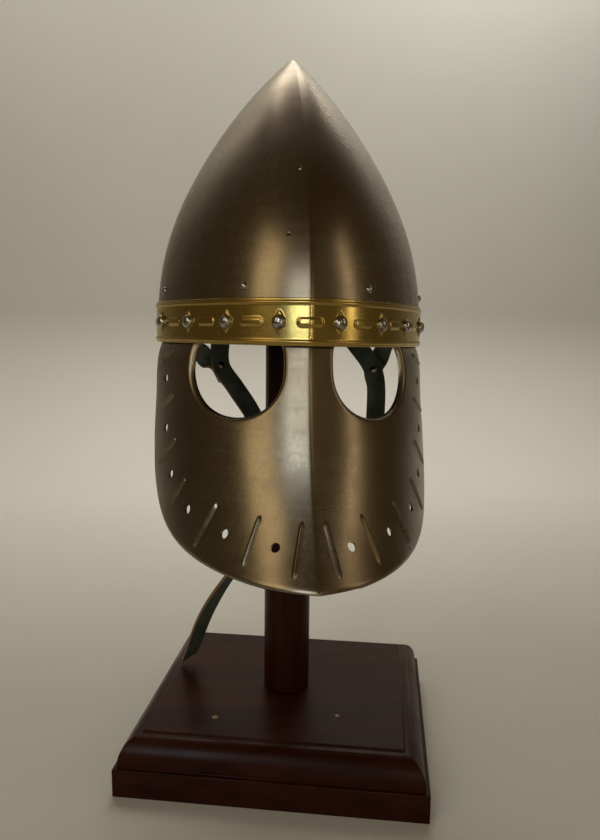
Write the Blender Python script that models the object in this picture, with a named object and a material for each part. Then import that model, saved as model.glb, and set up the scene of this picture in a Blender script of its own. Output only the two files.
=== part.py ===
"""Spectacle guard helmet on a plain wooden stand.

A keeled, pointed steel skull and a steel face plate with two rimmed eye openings are
riveted together under a brass brow band. Two forked leather straps hang inside and
meet at a ring behind the chin. The helmet rests on the round top of a wooden post.
Metres, +Z up. The helmet faces -Y. The origin is the middle of the stand's underside.
"""

import math

import bmesh
import bpy
import numpy as np
from mathutils import Matrix, Vector

# Helmet in plan, measured over the brow band
HALF_WIDTH = 0.1003
FRONT_DEPTH = 0.1222
BACK_DEPTH = 0.1040
FRONT_FLATNESS = 0.45
BACK_FLATNESS = 0.20
KEEL_RISE = 0.0045
KEEL_SPREAD = math.radians(7.0)

# Skull, from the middle of the band up to the point
SKULL_HEIGHT = 0.1990
SKULL_WALL = 0.0015
SKULL_LAP = 0.0100
POINT_SET_BACK = 0.0134

# Brow band
BAND_HEIGHT = 0.0291
BAND_WALL = 0.0010
BEAD_INSET = 0.0027
BEAD_HALF_WIDTH = 0.0016
BEAD_RISE = 0.0008

# Face plate, from the middle of the band down to the chin
PLATE_DROP = 0.1490
PLATE_WALL = 0.0015
PLATE_LAP = 0.0100
PLATE_HALF_ANGLE = math.radians(80.8)
RIM_CORNER_ACROSS = 5.25
RIM_CORNER_DOWN = 2.0
UNROLLED_RADIUS = 0.1100

# Eye openings, in the unrolled face plate
EYE_ANGLE = math.radians(28.0)
EYE_LEVEL = 0.0290
EYE_HALF_WIDTH = 0.0357
EYE_UP = 0.0220
EYE_DOWN = 0.0305
EYE_UPPER_SQUARENESS = 4.0
EYE_LOWER_SQUARENESS = 2.1
LIP_WIDTH = 0.0036
LIP_DEPTH = 0.0040

# Lace holes and raised rays round the face plate's edge
LACE_HOLE_RADIUS = 0.0030
RAY_HALF_WIDTH = 0.0021
RAY_RISE = 0.0012

# Rivets
BAND_RIVETS = 16
BAND_RIVET_RADIUS = 0.0046
BAND_RIVET_RISE = 0.0032
SKULL_RIVET_LEVEL = 0.0220
SKULL_RIVET_RADIUS = 0.0027
SKULL_RIVET_RISE = 0.0020
SHANK_RADIUS = 0.0016
SHANK_TAIL = 0.0008
BAND_HOLE_REACH = 0.0120

# Leather straps
STRAP_WIDTH = 0.0150
STRAP_WALL = 0.0024
STRAP_END = 0.0090
JOINT_RIVET_RADIUS = 0.0028
JOINT_RIVET_RISE = 0.0014

# Ring that joins the straps behind the chin
RING_BAR = 0.0028
RING_ROOM_ACROSS = 0.0170
RING_ROOM_HIGH = 0.0090

# Wooden stand
BASE_WIDTH = 0.2300
BASE_DEPTH = 0.2052
BASE_HEIGHT = 0.0434
PLINTH_HEIGHT = 0.0215
LEDGE_WIDTH = 0.0030
LEDGE_RISE = 0.0020
MOULDING_WIDTH = 0.0196
ARRIS_WIDTH = 0.0014
ARRIS_RISE = 0.0014
POST_RADIUS = 0.0187
TENON_RADIUS = 0.0120
TENON_LENGTH = 0.0180

# How the helmet sits on the stand
BAND_LEVEL = 0.3431
HELMET_SHIFT = (-0.0012, -0.0135)
LEAN_BACK = math.radians(2.0)
LEAN_SIDE = math.radians(0.7)
STAND_TURN = math.radians(-13.2)

# Running gap between pieces that touch, and the room that flat facets take on a curve
GAP = 0.0003
FACET_ROOM = 0.0006

# Facets
FACETS_PER_RIVET = 3
AROUND = FACETS_PER_RIVET * BAND_RIVETS
BALL_SIDES = 24
RIVET_SIDES = 8

# Columns: height share between the band's upper edge and the point, width share
SKULL_SECTIONS = (
    (0.00, 1.000),
    (0.06, 0.990),
    (0.14, 0.972),
    (0.24, 0.928),
    (0.34, 0.861),
    (0.45, 0.777),
    (0.56, 0.669),
    (0.67, 0.537),
    (0.78, 0.381),
    (0.88, 0.241),
    (0.95, 0.100),
    (1.00, 0.000),
)

# Columns: drop share of PLATE_DROP, then the width, depth and flatness of the plate's
# plan as shares of the width and depth of its hidden upper edge and of FRONT_FLATNESS
PLATE_SECTIONS = (
    (-0.08, 1.000, 1.000, 1.00),
    (0.07, 1.000, 1.000, 1.00),
    (0.12, 1.027, 1.016, 0.97),
    (0.20, 1.052, 1.034, 0.92),
    (0.30, 1.060, 1.057, 0.85),
    (0.40, 1.068, 1.087, 0.78),
    (0.50, 1.081, 1.129, 0.73),
    (0.60, 1.092, 1.180, 0.73),
    (0.70, 1.104, 1.244, 0.73),
    (0.80, 1.113, 1.322, 0.73),
    (0.90, 1.124, 1.415, 0.73),
    (1.00, 1.133, 1.523, 0.73),
)

# Columns: angle from the keel in degrees, drop share of PLATE_DROP
LACE_HOLES = (
    (64.1, 0.266),
    (61.3, 0.494),
    (54.8, 0.692),
    (44.0, 0.812),
    (28.4, 0.857),
    (12.0, 0.868),
)

# Columns: outer end and inner end, each as angle in degrees and drop share
RAYS = (
    (73.0, 0.190, 59.5, 0.130),
    (70.5, 0.422, 56.4, 0.341),
    (65.8, 0.679, 53.0, 0.532),
    (56.3, 0.867, 45.8, 0.691),
    (40.1, 0.945, 31.4, 0.749),
    (22.2, 0.955, 16.4, 0.763),
    (7.0, 0.962, 3.5, 0.769),
)

# Columns: name, share of the band's length from the keel to the wearer's left
SKULL_RIVET_SHARES = (
    ("skull_rivet_front_right", -0.073),
    ("skull_rivet_front_left", 0.073),
    ("skull_rivet_side_right", -0.220),
    ("skull_rivet_side_left", 0.240),
    ("skull_rivet_back_right", -0.427),
    ("skull_rivet_back_left", 0.427),
)

# Routes of the straps in the helmet. Columns: share of HALF_WIDTH to the wearer's left,
# share of BACK_DEPTH to the back, share of PLATE_DROP up from the band,
# turn of the strap's width from the X axis in degrees
SHORT_STRAP_ROUTE = (
    (-0.522, 0.330, -0.080, 20.0),
    (-0.519, 0.240, -0.220, 16.0),
    (-0.409, 0.185, -0.330, 14.0),
    (-0.284, 0.115, -0.454, 16.0),
    (-0.197, -0.120, -0.600, 35.0),
    (-0.148, -0.220, -0.750, 65.0),
)
SHORT_SIDE_ROUTE = (
    (-0.827, 0.020, -0.060, -35.0),
    (-0.690, 0.270, -0.140, -5.0),
)
LONG_STRAP_ROUTE = (
    (0.566, 0.330, -0.080, -22.0),
    (0.714, 0.240, -0.235, -14.0),
    (0.734, 0.195, -0.440, -5.0),
    (0.630, -0.010, -0.640, 25.0),
    (0.364, -0.170, -0.800, 60.0),
)
LONG_SIDE_ROUTE = (
    (0.847, 0.120, -0.040, 45.0),
    (0.803, 0.290, -0.120, 10.0),
)
JOINT_ROW = 1
RING_PLACE = (-0.128, -0.245, -0.965)
FREE_END_ROUTE = (
    (-0.345, -0.215, -1.175, 62.0),
    (-0.517, -0.095, -1.375, 46.0),
)
TIP_TURN = 42.0
TIP_ON_BASE = (-0.940, 0.258)
TIP_SLANT = 0.0050
TIP_CLEARANCE = 0.0016

# Colours, roughness and metallic value of each material
FINISHES = {
    "steel": ((0.30, 0.25, 0.20), 0.30, 1.0),
    "brass": ((0.55, 0.40, 0.12), 0.28, 1.0),
    "rivet_steel": ((0.55, 0.53, 0.48), 0.25, 1.0),
    "leather": ((0.035, 0.042, 0.036), 0.60, 0.0),
    "ring_steel": ((0.40, 0.39, 0.37), 0.35, 1.0),
    "mahogany": ((0.090, 0.022, 0.012), 0.25, 0.0),
}


def clear_scene():
    """Remove the objects that a new file starts with."""
    for thing in list(bpy.data.objects):
        bpy.data.objects.remove(thing, do_unlink=True)


def material(finish):
    """The material of one finish, made the first time that it is asked for."""
    found = bpy.data.materials.get(finish)
    if found:
        return found
    colour, roughness, metallic = FINISHES[finish]
    made = bpy.data.materials.new(finish)
    made.use_nodes = True
    shader = made.node_tree.nodes["Principled BSDF"]
    shader.inputs["Base Color"].default_value = (*colour, 1.0)
    shader.inputs["Roughness"].default_value = roughness
    shader.inputs["Metallic"].default_value = metallic
    return made


def add_object(name, points, faces, finish, parent=None, sharp=35.0):
    """A mesh object with welded points and faces that all point outwards."""
    mesh = bpy.data.meshes.new(name)
    mesh.from_pydata([tuple(p) for p in points], [], [tuple(f) for f in faces])
    work = bmesh.new()
    work.from_mesh(mesh)
    bmesh.ops.remove_doubles(work, verts=work.verts, dist=1e-6)
    bmesh.ops.recalc_face_normals(work, faces=work.faces)
    work.to_mesh(mesh)
    work.free()
    mesh.materials.append(material(finish))
    mesh.shade_smooth()
    mesh.set_sharp_from_angle(angle=math.radians(sharp))
    made = bpy.data.objects.new(name, mesh)
    bpy.context.scene.collection.objects.link(made)
    made.parent = parent
    return made


def cutter(name, points, faces, parent):
    """A guide solid that is never part of the model."""
    made = add_object(name, points, faces, "steel", parent)
    made.hide_render = True
    made.display_type = "WIRE"
    return made


def combine(target, tool, operation):
    """Cut or join one object with another."""
    step = target.modifiers.new(operation.lower(), "BOOLEAN")
    step.operation = operation
    step.solver = "EXACT"
    step.object = tool


def column(table, index):
    """One column of a table as an array."""
    return np.array([row[index] for row in table], dtype=float)


def smooth(where, xs, ys):
    """A smooth curve through the table's points, by cubic pieces with mean slopes."""
    where = np.clip(np.asarray(where, dtype=float), xs[0], xs[-1])
    slopes = np.gradient(ys, xs)
    at = np.clip(np.searchsorted(xs, where) - 1, 0, len(xs) - 2)
    width = xs[at + 1] - xs[at]
    share = (where - xs[at]) / width
    low = (1 + 2 * share) * (1 - share) ** 2 * ys[at]
    low = low + share * (1 - share) ** 2 * width * slopes[at]
    high = share**2 * (3 - 2 * share) * ys[at + 1]
    high = high + share**2 * (share - 1) * width * slopes[at + 1]
    return low + high


def plan(angle, half_width, front, back, front_flatness, keel):
    """The almond plan of the helmet at an angle from the keel.

    The front is an ellipse with flattened cheeks and a raised crease at the keel, and the
    back is a rounder ellipse.
    """
    side = np.sin(angle)
    ahead = np.cos(angle)
    cheeks = (front - keel) * (1 - front_flatness * side**2)
    nape = back * (1 - BACK_FLATNESS * side**2)
    y = -ahead * np.where(ahead > 0, cheeks, nape)
    y = y - keel * np.exp(-np.abs(angle) / KEEL_SPREAD)
    return half_width * side, y


def band_plan(angle, inset):
    """The band's plan, moved inwards by the inset."""
    return plan(
        angle,
        HALF_WIDTH - inset,
        FRONT_DEPTH - inset,
        BACK_DEPTH - inset,
        FRONT_FLATNESS,
        KEEL_RISE,
    )


def angles_round_band(shares):
    """Angles whose distance along the band's edge is the given share of its length."""
    fine = np.linspace(-math.pi, math.pi, 2881)
    x, y = band_plan(fine, 0.0)
    steps = np.hypot(np.diff(x), np.diff(y))
    run = np.concatenate([[0.0], np.cumsum(steps)])
    return np.interp(np.asarray(shares) * run[-1] + run[-1] / 2, run, fine)


def skull_rise(height):
    """The share of the way from the band's upper edge to the point, nought below it."""
    top = BAND_HEIGHT / 2
    return np.clip((height - top) / (SKULL_HEIGHT - top), 0.0, 1.0)


def skull_point(angle, height):
    """A point of the skull's outer face: plumb behind the band, then drawn to a point."""
    rise = skull_rise(height)
    share = smooth(rise, column(SKULL_SECTIONS, 0), column(SKULL_SECTIONS, 1))
    inset = BAND_WALL + GAP
    x, y = plan(
        angle,
        (HALF_WIDTH - inset) * share,
        (FRONT_DEPTH - inset) * share,
        (BACK_DEPTH - inset) * share,
        FRONT_FLATNESS,
        KEEL_RISE * share,
    )
    y = y + POINT_SET_BACK * rise
    return np.stack([x, y, np.broadcast_to(height, x.shape)], axis=-1)


def plate_point(angle, drop):
    """A point of the face plate's outer face at an angle and a drop below the band."""
    share = drop / PLATE_DROP
    drops = column(PLATE_SECTIONS, 0)
    inset = BAND_WALL + SKULL_WALL + 2 * GAP + 2 * FACET_ROOM
    x, y = plan(
        angle,
        (HALF_WIDTH - inset) * smooth(share, drops, column(PLATE_SECTIONS, 1)),
        (FRONT_DEPTH - inset) * smooth(share, drops, column(PLATE_SECTIONS, 2)),
        BACK_DEPTH,
        FRONT_FLATNESS * smooth(share, drops, column(PLATE_SECTIONS, 3)),
        KEEL_RISE,
    )
    return np.stack([x, y, np.broadcast_to(-drop, x.shape)], axis=-1)


def outward(surface, angle, level):
    """Unit normals of a surface, away from the helmet's middle, from small steps."""
    step = 1e-4
    along = surface(angle + step, level) - surface(angle - step, level)
    up = surface(angle, level + step * 0.1) - surface(angle, level - step * 0.1)
    normal = np.cross(along, up)
    normal /= np.linalg.norm(normal, axis=-1, keepdims=True)
    middle = surface(angle, level) * np.array([1.0, 1.0, 0.0])
    facing = np.sum(normal * middle, axis=-1, keepdims=True)
    return normal * np.where(facing < 0, -1.0, 1.0)


def ring_faces(rings, around, closed=True):
    """Quads between rings of points, each ring holding the same number of points."""
    faces = []
    last = around if closed else around - 1
    for ring in range(rings - 1):
        for spot in range(last):
            after = (spot + 1) % around
            low = ring * around
            high = low + around
            faces.append((low + spot, low + after, high + after, high + spot))
    return faces


def fan_faces(ring_start, around, tip):
    """Triangles from a ring of points to a tip."""
    return [(ring_start + k, ring_start + (k + 1) % around, tip) for k in range(around)]


def turned(profile, sides):
    """A solid turned round the Z axis from rows of radius and height."""
    points = []
    faces = []
    starts = []
    for radius, height in profile:
        starts.append(len(points))
        if radius < 1e-9:
            points.append((0.0, 0.0, height))
            continue
        for k in range(sides):
            turn = 2 * math.pi * k / sides
            points.append((radius * math.cos(turn), radius * math.sin(turn), height))
    for first, second in zip(range(len(profile) - 1), range(1, len(profile))):
        tip_first = profile[first][0] < 1e-9
        tip_second = profile[second][0] < 1e-9
        if tip_first:
            faces += fan_faces(starts[second], sides, starts[first])
        elif tip_second:
            faces += fan_faces(starts[first], sides, starts[second])
        else:
            a, b = starts[first], starts[second]
            for k in range(sides):
                after = (k + 1) % sides
                faces.append((a + k, a + after, b + after, b + k))
    return np.array(points), faces


def aimed(points, seat, axis):
    """Points of a turned piece, with +Z along the axis and the origin on the seat."""
    turn = Vector((0.0, 0.0, 1.0)).rotation_difference(Vector(axis)).to_matrix()
    return points @ np.array(turn).T + np.asarray(seat)


def rod(seat, axis, radius, reach, sides=RIVET_SIDES):
    """A plain rod through a seat, reaching as far on both sides of it."""
    points, faces = turned([(0, reach), (radius, reach), (radius, -reach), (0, -reach)], sides)
    return aimed(points, seat, axis), faces


def merged(pieces):
    """Several solids as one list of points and faces."""
    points = []
    faces = []
    for piece_points, piece_faces in pieces:
        start = len(points)
        points += [tuple(p) for p in piece_points]
        faces += [tuple(start + k for k in face) for face in piece_faces]
    return points, faces


def facet_angles(share):
    """Angles of both ends of the facet at a share of the band's length from the keel."""
    facet = math.floor(share * AROUND)
    return angles_round_band(np.array([facet, facet + 1]) / AROUND)


def band_rivet_seats():
    """Seats on the band's outer facets, evenly spaced, each with its outward axis."""
    seats = []
    for k in range(BAND_RIVETS):
        x, y = band_plan(facet_angles((k + 0.5) / BAND_RIVETS - 0.5), 0.0)
        axis = Vector((y[1] - y[0], x[0] - x[1], 0.0)).normalized()
        seats.append(((np.mean(x), np.mean(y), 0.0), tuple(axis)))
    return seats


def skull_rivet_seats():
    """Seats on the skull's outer face above the band, each with its outward axis."""
    seats = []
    for name, share in SKULL_RIVET_SHARES:
        ends = facet_angles(share)
        seat = np.mean(skull_point(ends, SKULL_RIVET_LEVEL), axis=0)
        axis = np.mean(outward(skull_point, ends, SKULL_RIVET_LEVEL), axis=0)
        seats.append((name, tuple(seat), tuple(axis / np.linalg.norm(axis))))
    return seats


def shank_holes(seats, reach, parent, name):
    """Cutters for the rivets' shanks through whatever lies at the seats."""
    rods = [rod(seat, axis, SHANK_RADIUS + GAP, reach) for seat, axis in seats]
    return cutter(name, *merged(rods), parent)


def build_skull(frame, band_holes):
    """The raised steel skull, hollow, open below, drilled for its rivets."""
    angles = angles_round_band(np.arange(AROUND) / AROUND - 0.5)
    top = BAND_HEIGHT / 2
    heights = top + column(SKULL_SECTIONS, 0)[:-1] * (SKULL_HEIGHT - top)
    heights = np.insert(heights, 0, -SKULL_LAP)
    rings = []
    for face_inset in (0.0, SKULL_WALL):
        for height in heights:
            ring = skull_point(angles, height)
            normal = outward(skull_point, angles, height)
            if height <= top:
                normal = flat_normal(normal)
            rings.append(ring - face_inset * normal)
    rows = len(heights)
    points = [tuple(p) for ring in rings for p in ring]
    outer = ring_faces(rows, AROUND)
    inner = [tuple(rows * AROUND + k for k in face) for face in outer]
    lip = []
    for k in range(AROUND):
        after = (k + 1) % AROUND
        lip.append((k, after, rows * AROUND + after, rows * AROUND + k))
    tip = len(points)
    points.append((0.0, POINT_SET_BACK, SKULL_HEIGHT))
    points.append((0.0, POINT_SET_BACK, SKULL_HEIGHT - 2 * SKULL_WALL))
    tops = fan_faces((rows - 1) * AROUND, AROUND, tip)
    tops += fan_faces((2 * rows - 1) * AROUND, AROUND, tip + 1)
    skull = add_object("skull", points, outer + inner + lip + tops, "steel", frame)
    combine(skull, band_holes, "DIFFERENCE")
    seats = [(seat, axis) for name, seat, axis in skull_rivet_seats()]
    holes = shank_holes(seats, 3 * SKULL_WALL, frame, "skull_rivet_holes")
    combine(skull, holes, "DIFFERENCE")
    return skull


def band_profile():
    """Rows of outward rise and height of the band's outer face, top to bottom."""
    top = BAND_HEIGHT / 2
    bead = top - BEAD_INSET
    upper = [
        (0.0, top),
        (0.0, bead + BEAD_HALF_WIDTH),
        (BEAD_RISE, bead),
        (0.0, bead - BEAD_HALF_WIDTH),
    ]
    lower = [(rise, -height) for rise, height in reversed(upper)]
    return upper + lower


def build_band(frame, band_holes):
    """The brass brow band, with a raised bead along both edges."""
    angles = angles_round_band(np.arange(AROUND) / AROUND - 0.5)
    rows = band_profile()
    rows = rows + [(-BAND_WALL, -BAND_HEIGHT / 2), (-BAND_WALL, BAND_HEIGHT / 2)]
    points = []
    for rise, height in rows:
        x, y = band_plan(angles, -rise)
        points += [(px, py, height) for px, py in zip(x, y)]
    faces = ring_faces(len(rows), AROUND)
    last = (len(rows) - 1) * AROUND
    for k in range(AROUND):
        after = (k + 1) % AROUND
        faces.append((last + k, last + after, after, k))
    band = add_object("brow_band", points, faces, "brass", frame)
    combine(band, band_holes, "DIFFERENCE")
    return band


def rim_line(count):
    """Even steps along the plate's lower edge, from the chin round up to the side."""
    turn = np.linspace(0.0, math.pi / 2, 2001)
    angle = PLATE_HALF_ANGLE * np.sin(turn) ** (2 / RIM_CORNER_ACROSS)
    drop = PLATE_DROP * np.cos(turn) ** (2 / RIM_CORNER_DOWN)
    steps = np.hypot(np.diff(angle) * UNROLLED_RADIUS, np.diff(drop))
    run = np.concatenate([[0.0], np.cumsum(steps)])
    even = np.linspace(0.0, run[-1], count + 1)
    return np.interp(even, run, angle), np.interp(even, run, drop)


def half_plate_outline(keel_count, rim_count, top_count):
    """Angle and drop round one half of the plate: down the keel, along the rim, back."""
    keel = np.linspace(-PLATE_LAP, PLATE_DROP, keel_count + 1)[:-1]
    points = [(0.0, drop) for drop in keel]
    points += list(zip(*rim_line(rim_count)))
    for k in range(top_count):
        points.append((PLATE_HALF_ANGLE * (1 - k / top_count), -PLATE_LAP))
    return points


def eye_reach(turn):
    """Distance from the eye's middle to its edge in the unrolled plate."""
    across = np.abs(np.cos(turn)) / EYE_HALF_WIDTH
    down = np.sin(turn)
    lower = (across**EYE_LOWER_SQUARENESS + (np.abs(down) / EYE_DOWN) ** EYE_LOWER_SQUARENESS)
    upper = (across**EYE_UPPER_SQUARENESS + (np.abs(down) / EYE_UP) ** EYE_UPPER_SQUARENESS)
    return np.where(
        down > 0,
        lower ** (-1 / EYE_LOWER_SQUARENESS),
        upper ** (-1 / EYE_UPPER_SQUARENESS),
    )


def half_plate_rings():
    """Rings of angle, drop and inward depth, from the eye's lip out to the edge."""
    edge = np.array(half_plate_outline(11, 16, 8))
    middle = EYE_ANGLE * UNROLLED_RADIUS
    across = edge[:, 0] * UNROLLED_RADIUS - middle
    down = edge[:, 1] - EYE_LEVEL
    turn = np.arctan2(down, across)
    reach = np.hypot(across, down)
    eye = eye_reach(turn)
    rings = []
    for curl in (0.0, 45.0, 90.0):
        out = eye + LIP_WIDTH * (1 - math.cos(math.radians(curl)))
        depth = LIP_DEPTH * (1 - math.sin(math.radians(curl)))
        rings.append((out, depth))
    start = rings[-1][0]
    for share in (0.16, 0.36, 0.60, 0.82, 1.0):
        rings.append((start + (reach - start) * share, 0.0))
    result = []
    for out, depth in rings:
        angle = (middle + out * np.cos(turn)) / UNROLLED_RADIUS
        drop = EYE_LEVEL + out * np.sin(turn)
        result.append((angle, drop, depth))
    return result


def half_plate(side):
    """One half of the face plate as a closed wall, apart from the seam at the keel."""
    points = []
    rings = half_plate_rings()
    for inset in (0.0, PLATE_WALL):
        for angle, drop, depth in rings:
            face = plate_point(side * angle, drop)
            normal = outward(plate_point, side * angle, drop)
            normal = np.where(drop[:, None] <= 0, flat_normal(normal), normal)
            points.append(face - (inset + depth) * normal)
    around = len(rings[0][0])
    rows = len(rings)
    outer = ring_faces(rows, around)
    inner = [tuple(rows * around + k for k in face) for face in outer]
    walls = []
    for ring in (0, rows - 1):
        for k in range(around):
            after = (k + 1) % around
            first = ring * around
            second = (rows + ring) * around
            walls.append((first + k, first + after, second + after, second + k))
    return np.concatenate(points), outer + inner + walls


def flat_normal(normal):
    """The normals without their upward part."""
    level = normal * np.array([1.0, 1.0, 0.0])
    return level / np.linalg.norm(level, axis=-1, keepdims=True)


def drop_seam_walls(points, faces):
    """Leave out the walls that stand on the keel's seam, where both halves are one."""
    kept = []
    for face in faces:
        corners = points[list(face)]
        if np.all(np.abs(corners[:, 0]) < 1e-7):
            continue
        kept.append(face)
    return kept


def ray_ridge(side, row):
    """One raised ray: a low roof that follows the plate and dies away at both ends."""
    outer_angle, outer_drop, inner_angle, inner_drop = row
    share = np.linspace(0.0, 1.0, 6)
    angle = side * np.radians(outer_angle + (inner_angle - outer_angle) * share)
    drop = PLATE_DROP * (outer_drop + (inner_drop - outer_drop) * share)
    line = plate_point(angle, drop)
    normal = outward(plate_point, angle, drop)
    along = np.gradient(line, axis=0)
    across = np.cross(along, normal)
    across /= np.linalg.norm(across, axis=-1, keepdims=True)
    rise = RAY_RISE * np.minimum(1.0, np.minimum(share, 1 - share) * 5)
    sunk = PLATE_WALL * 0.75
    width = RAY_HALF_WIDTH * (0.4 + 0.6 * rise / RAY_RISE)
    left = line + across * width[:, None] - normal * sunk
    right = line - across * width[:, None] - normal * sunk
    crest = line + normal * rise[:, None]
    points = np.stack([left, crest, right], axis=1).reshape(-1, 3)
    faces = ring_faces(len(share), 3)
    faces.append((0, 1, 2))
    faces.append((15, 16, 17))
    return points, faces


def build_plate(frame, band_holes):
    """The steel face plate: rimmed eye openings, rays, lace holes and rivet holes."""
    halves = []
    for side in (-1, 1):
        points, faces = half_plate(side)
        halves.append((points, drop_seam_walls(points, faces)))
    plate = add_object("face_plate", *merged(halves), "steel", frame)
    ridges = [ray_ridge(side, row) for side in (-1, 1) for row in RAYS]
    combine(plate, cutter("ray_ridges", *merged(ridges), frame), "UNION")
    rods = []
    for side in (-1, 1):
        for degrees, share in LACE_HOLES:
            angle = np.array([side * math.radians(degrees)])
            drop = share * PLATE_DROP
            seat = plate_point(angle, drop)[0]
            axis = outward(plate_point, angle, drop)[0]
            rods.append(rod(seat, axis, LACE_HOLE_RADIUS, 3 * PLATE_WALL))
    combine(plate, cutter("lace_holes", *merged(rods), frame), "DIFFERENCE")
    combine(plate, band_holes, "DIFFERENCE")
    return plate


def rivet_profile(radius, rise, shank):
    """Rows of radius and height of a domed rivet whose seat is at height nought."""
    return [
        (0.0, rise),
        (0.72 * radius, 0.68 * rise),
        (radius, GAP),
        (SHANK_RADIUS, GAP),
        (SHANK_RADIUS, -shank),
        (0.0, -shank),
    ]


def build_rivets(frame):
    """The band's big domed rivets and the skull's small ones."""
    reach = HALF_WIDTH * math.sin(PLATE_HALF_ANGLE)
    for count, (seat, axis) in enumerate(band_rivet_seats(), start=1):
        shank = BAND_WALL + SKULL_WALL + GAP + SHANK_TAIL
        if seat[1] < 0 and abs(seat[0]) < reach:
            shank += PLATE_WALL + 2 * FACET_ROOM + 2 * GAP
        shape, faces = turned(
            rivet_profile(BAND_RIVET_RADIUS, BAND_RIVET_RISE, shank), RIVET_SIDES
        )
        name = f"band_rivet_{count:02d}"
        add_object(name, aimed(shape, seat, axis), faces, "rivet_steel", frame)
    for name, seat, axis in skull_rivet_seats():
        through = SKULL_WALL + SHANK_TAIL
        if "front" not in name:
            through += STRAP_WALL + strap_clearance()
        shape, faces = turned(
            rivet_profile(SKULL_RIVET_RADIUS, SKULL_RIVET_RISE, through), RIVET_SIDES
        )
        add_object(name, aimed(shape, seat, axis), faces, "rivet_steel", frame)


def strap_clearance():
    """Room between the skull's curved inner face and a flat strap on it."""
    return GAP + 2 * FACET_ROOM


def wall_station(share, height, inset):
    """A strap station on the skull's inner face, with the turn of its width."""
    ends = facet_angles(share)
    seat = np.mean(skull_point(ends, height), axis=0)
    normal = np.mean(outward(skull_point, ends, height), axis=0)
    normal /= np.linalg.norm(normal)
    place = seat - normal * (SKULL_WALL + inset + STRAP_WALL / 2)
    turn = math.degrees(math.atan2(normal[0], -normal[1]))
    if turn > 90:
        turn -= 180
    if turn < -90:
        turn += 180
    return (*place, turn)


def route_station(row):
    """A row of a route table in metres."""
    across, back, up, turn = row
    return (across * HALF_WIDTH, back * BACK_DEPTH, up * PLATE_DROP, turn)


def leg_start(name):
    """The stations that hold a leg's end on the skull, then lead it past the plate."""
    share = dict(SKULL_RIVET_SHARES)[name]
    near = strap_clearance()
    past = near
    if "side" in name:
        past += PLATE_WALL + 2 * FACET_ROOM + 2 * GAP
    above = wall_station(share, SKULL_RIVET_LEVEL + STRAP_END, near + 2 * GAP)
    at = wall_station(share, SKULL_RIVET_LEVEL, near)
    below = wall_station(share, PLATE_LAP + 2 * STRAP_WALL, past)
    return [above, at, below]


def resampled(stations, count):
    """Stations at even steps along a smooth curve through the given ones."""
    rows = np.array(stations)
    lengths = np.linalg.norm(np.diff(rows[:, :3], axis=0), axis=1)
    run = np.concatenate([[0.0], np.cumsum(lengths)])
    even = np.linspace(0.0, run[-1], count)
    return np.stack([smooth(even, run, rows[:, k]) for k in range(4)], axis=1)


def ribbon_frames(rows):
    """Places, directions, width axes and face normals along a strap."""
    places = rows[:, :3]
    along = np.gradient(places, axis=0)
    along /= np.linalg.norm(along, axis=1, keepdims=True)
    turn = np.radians(rows[:, 3])
    across = np.stack([np.cos(turn), np.sin(turn), np.zeros_like(turn)], axis=1)
    across -= along * np.sum(along * across, axis=1, keepdims=True)
    across /= np.linalg.norm(across, axis=1, keepdims=True)
    return places, along, across, np.cross(along, across)


def ribbon(rows, slant=0.0, offset=0.0):
    """A strap of rectangular section along its stations.

    The slant moves one corner of the last station forward, for a cut end. The offset
    lifts the strap off its line along its face normal.
    """
    places, along, across, normal = ribbon_frames(rows)
    places = places + normal * offset
    points = []
    for k in range(len(rows)):
        cut = slant if k == len(rows) - 1 else 0.0
        for side, face in ((-1, -1), (1, -1), (1, 1), (-1, 1)):
            corner = places[k] + across[k] * side * STRAP_WIDTH / 2
            corner = corner + normal[k] * face * STRAP_WALL / 2
            corner = corner + along[k] * side * cut
            points.append(tuple(corner))
    faces = ring_faces(len(rows), 4)
    faces.append((0, 1, 2, 3))
    end = 4 * (len(rows) - 1)
    faces.append((end, end + 1, end + 2, end + 3))
    return points, faces


def helmet_matrix():
    """Where the helmet's own frame stands on the stand."""
    place = Matrix.Translation((*HELMET_SHIFT, BAND_LEVEL))
    return place @ Matrix.Rotation(-LEAN_BACK, 4, "X") @ Matrix.Rotation(LEAN_SIDE, 4, "Y")


def tip_station():
    """The free end's tip, just above the edge of the stand's flat top."""
    half = (BASE_WIDTH / 2 - MOULDING_WIDTH, BASE_DEPTH / 2 - MOULDING_WIDTH)
    on_base = Vector((TIP_ON_BASE[0] * half[0], TIP_ON_BASE[1] * half[1], 0.0))
    on_base = Matrix.Rotation(STAND_TURN, 4, "Z") @ on_base
    on_base.z = BASE_HEIGHT + TIP_SLANT + TIP_CLEARANCE
    place = helmet_matrix().inverted() @ on_base
    return (*place, TIP_TURN)


def ring_seat():
    """The ring's place in the helmet."""
    return np.array(route_station((*RING_PLACE, 0.0))[:3])


def ring_axes():
    """The ring's axes: along its level bars, up to the short strap, and through it."""
    long_end = np.array(route_station(LONG_STRAP_ROUTE[-1])[:3])
    through = long_end - ring_seat()
    through /= np.linalg.norm(through)
    bar = np.array([-through[1], through[0], 0.0])
    bar /= np.linalg.norm(bar)
    return bar, np.cross(through, bar), through


def fold_radius():
    """The radius of the strap's middle where it folds round the ring's square bar."""
    return RING_BAR / 2 * math.sqrt(2) + 2 * GAP + STRAP_WALL / 2


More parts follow.
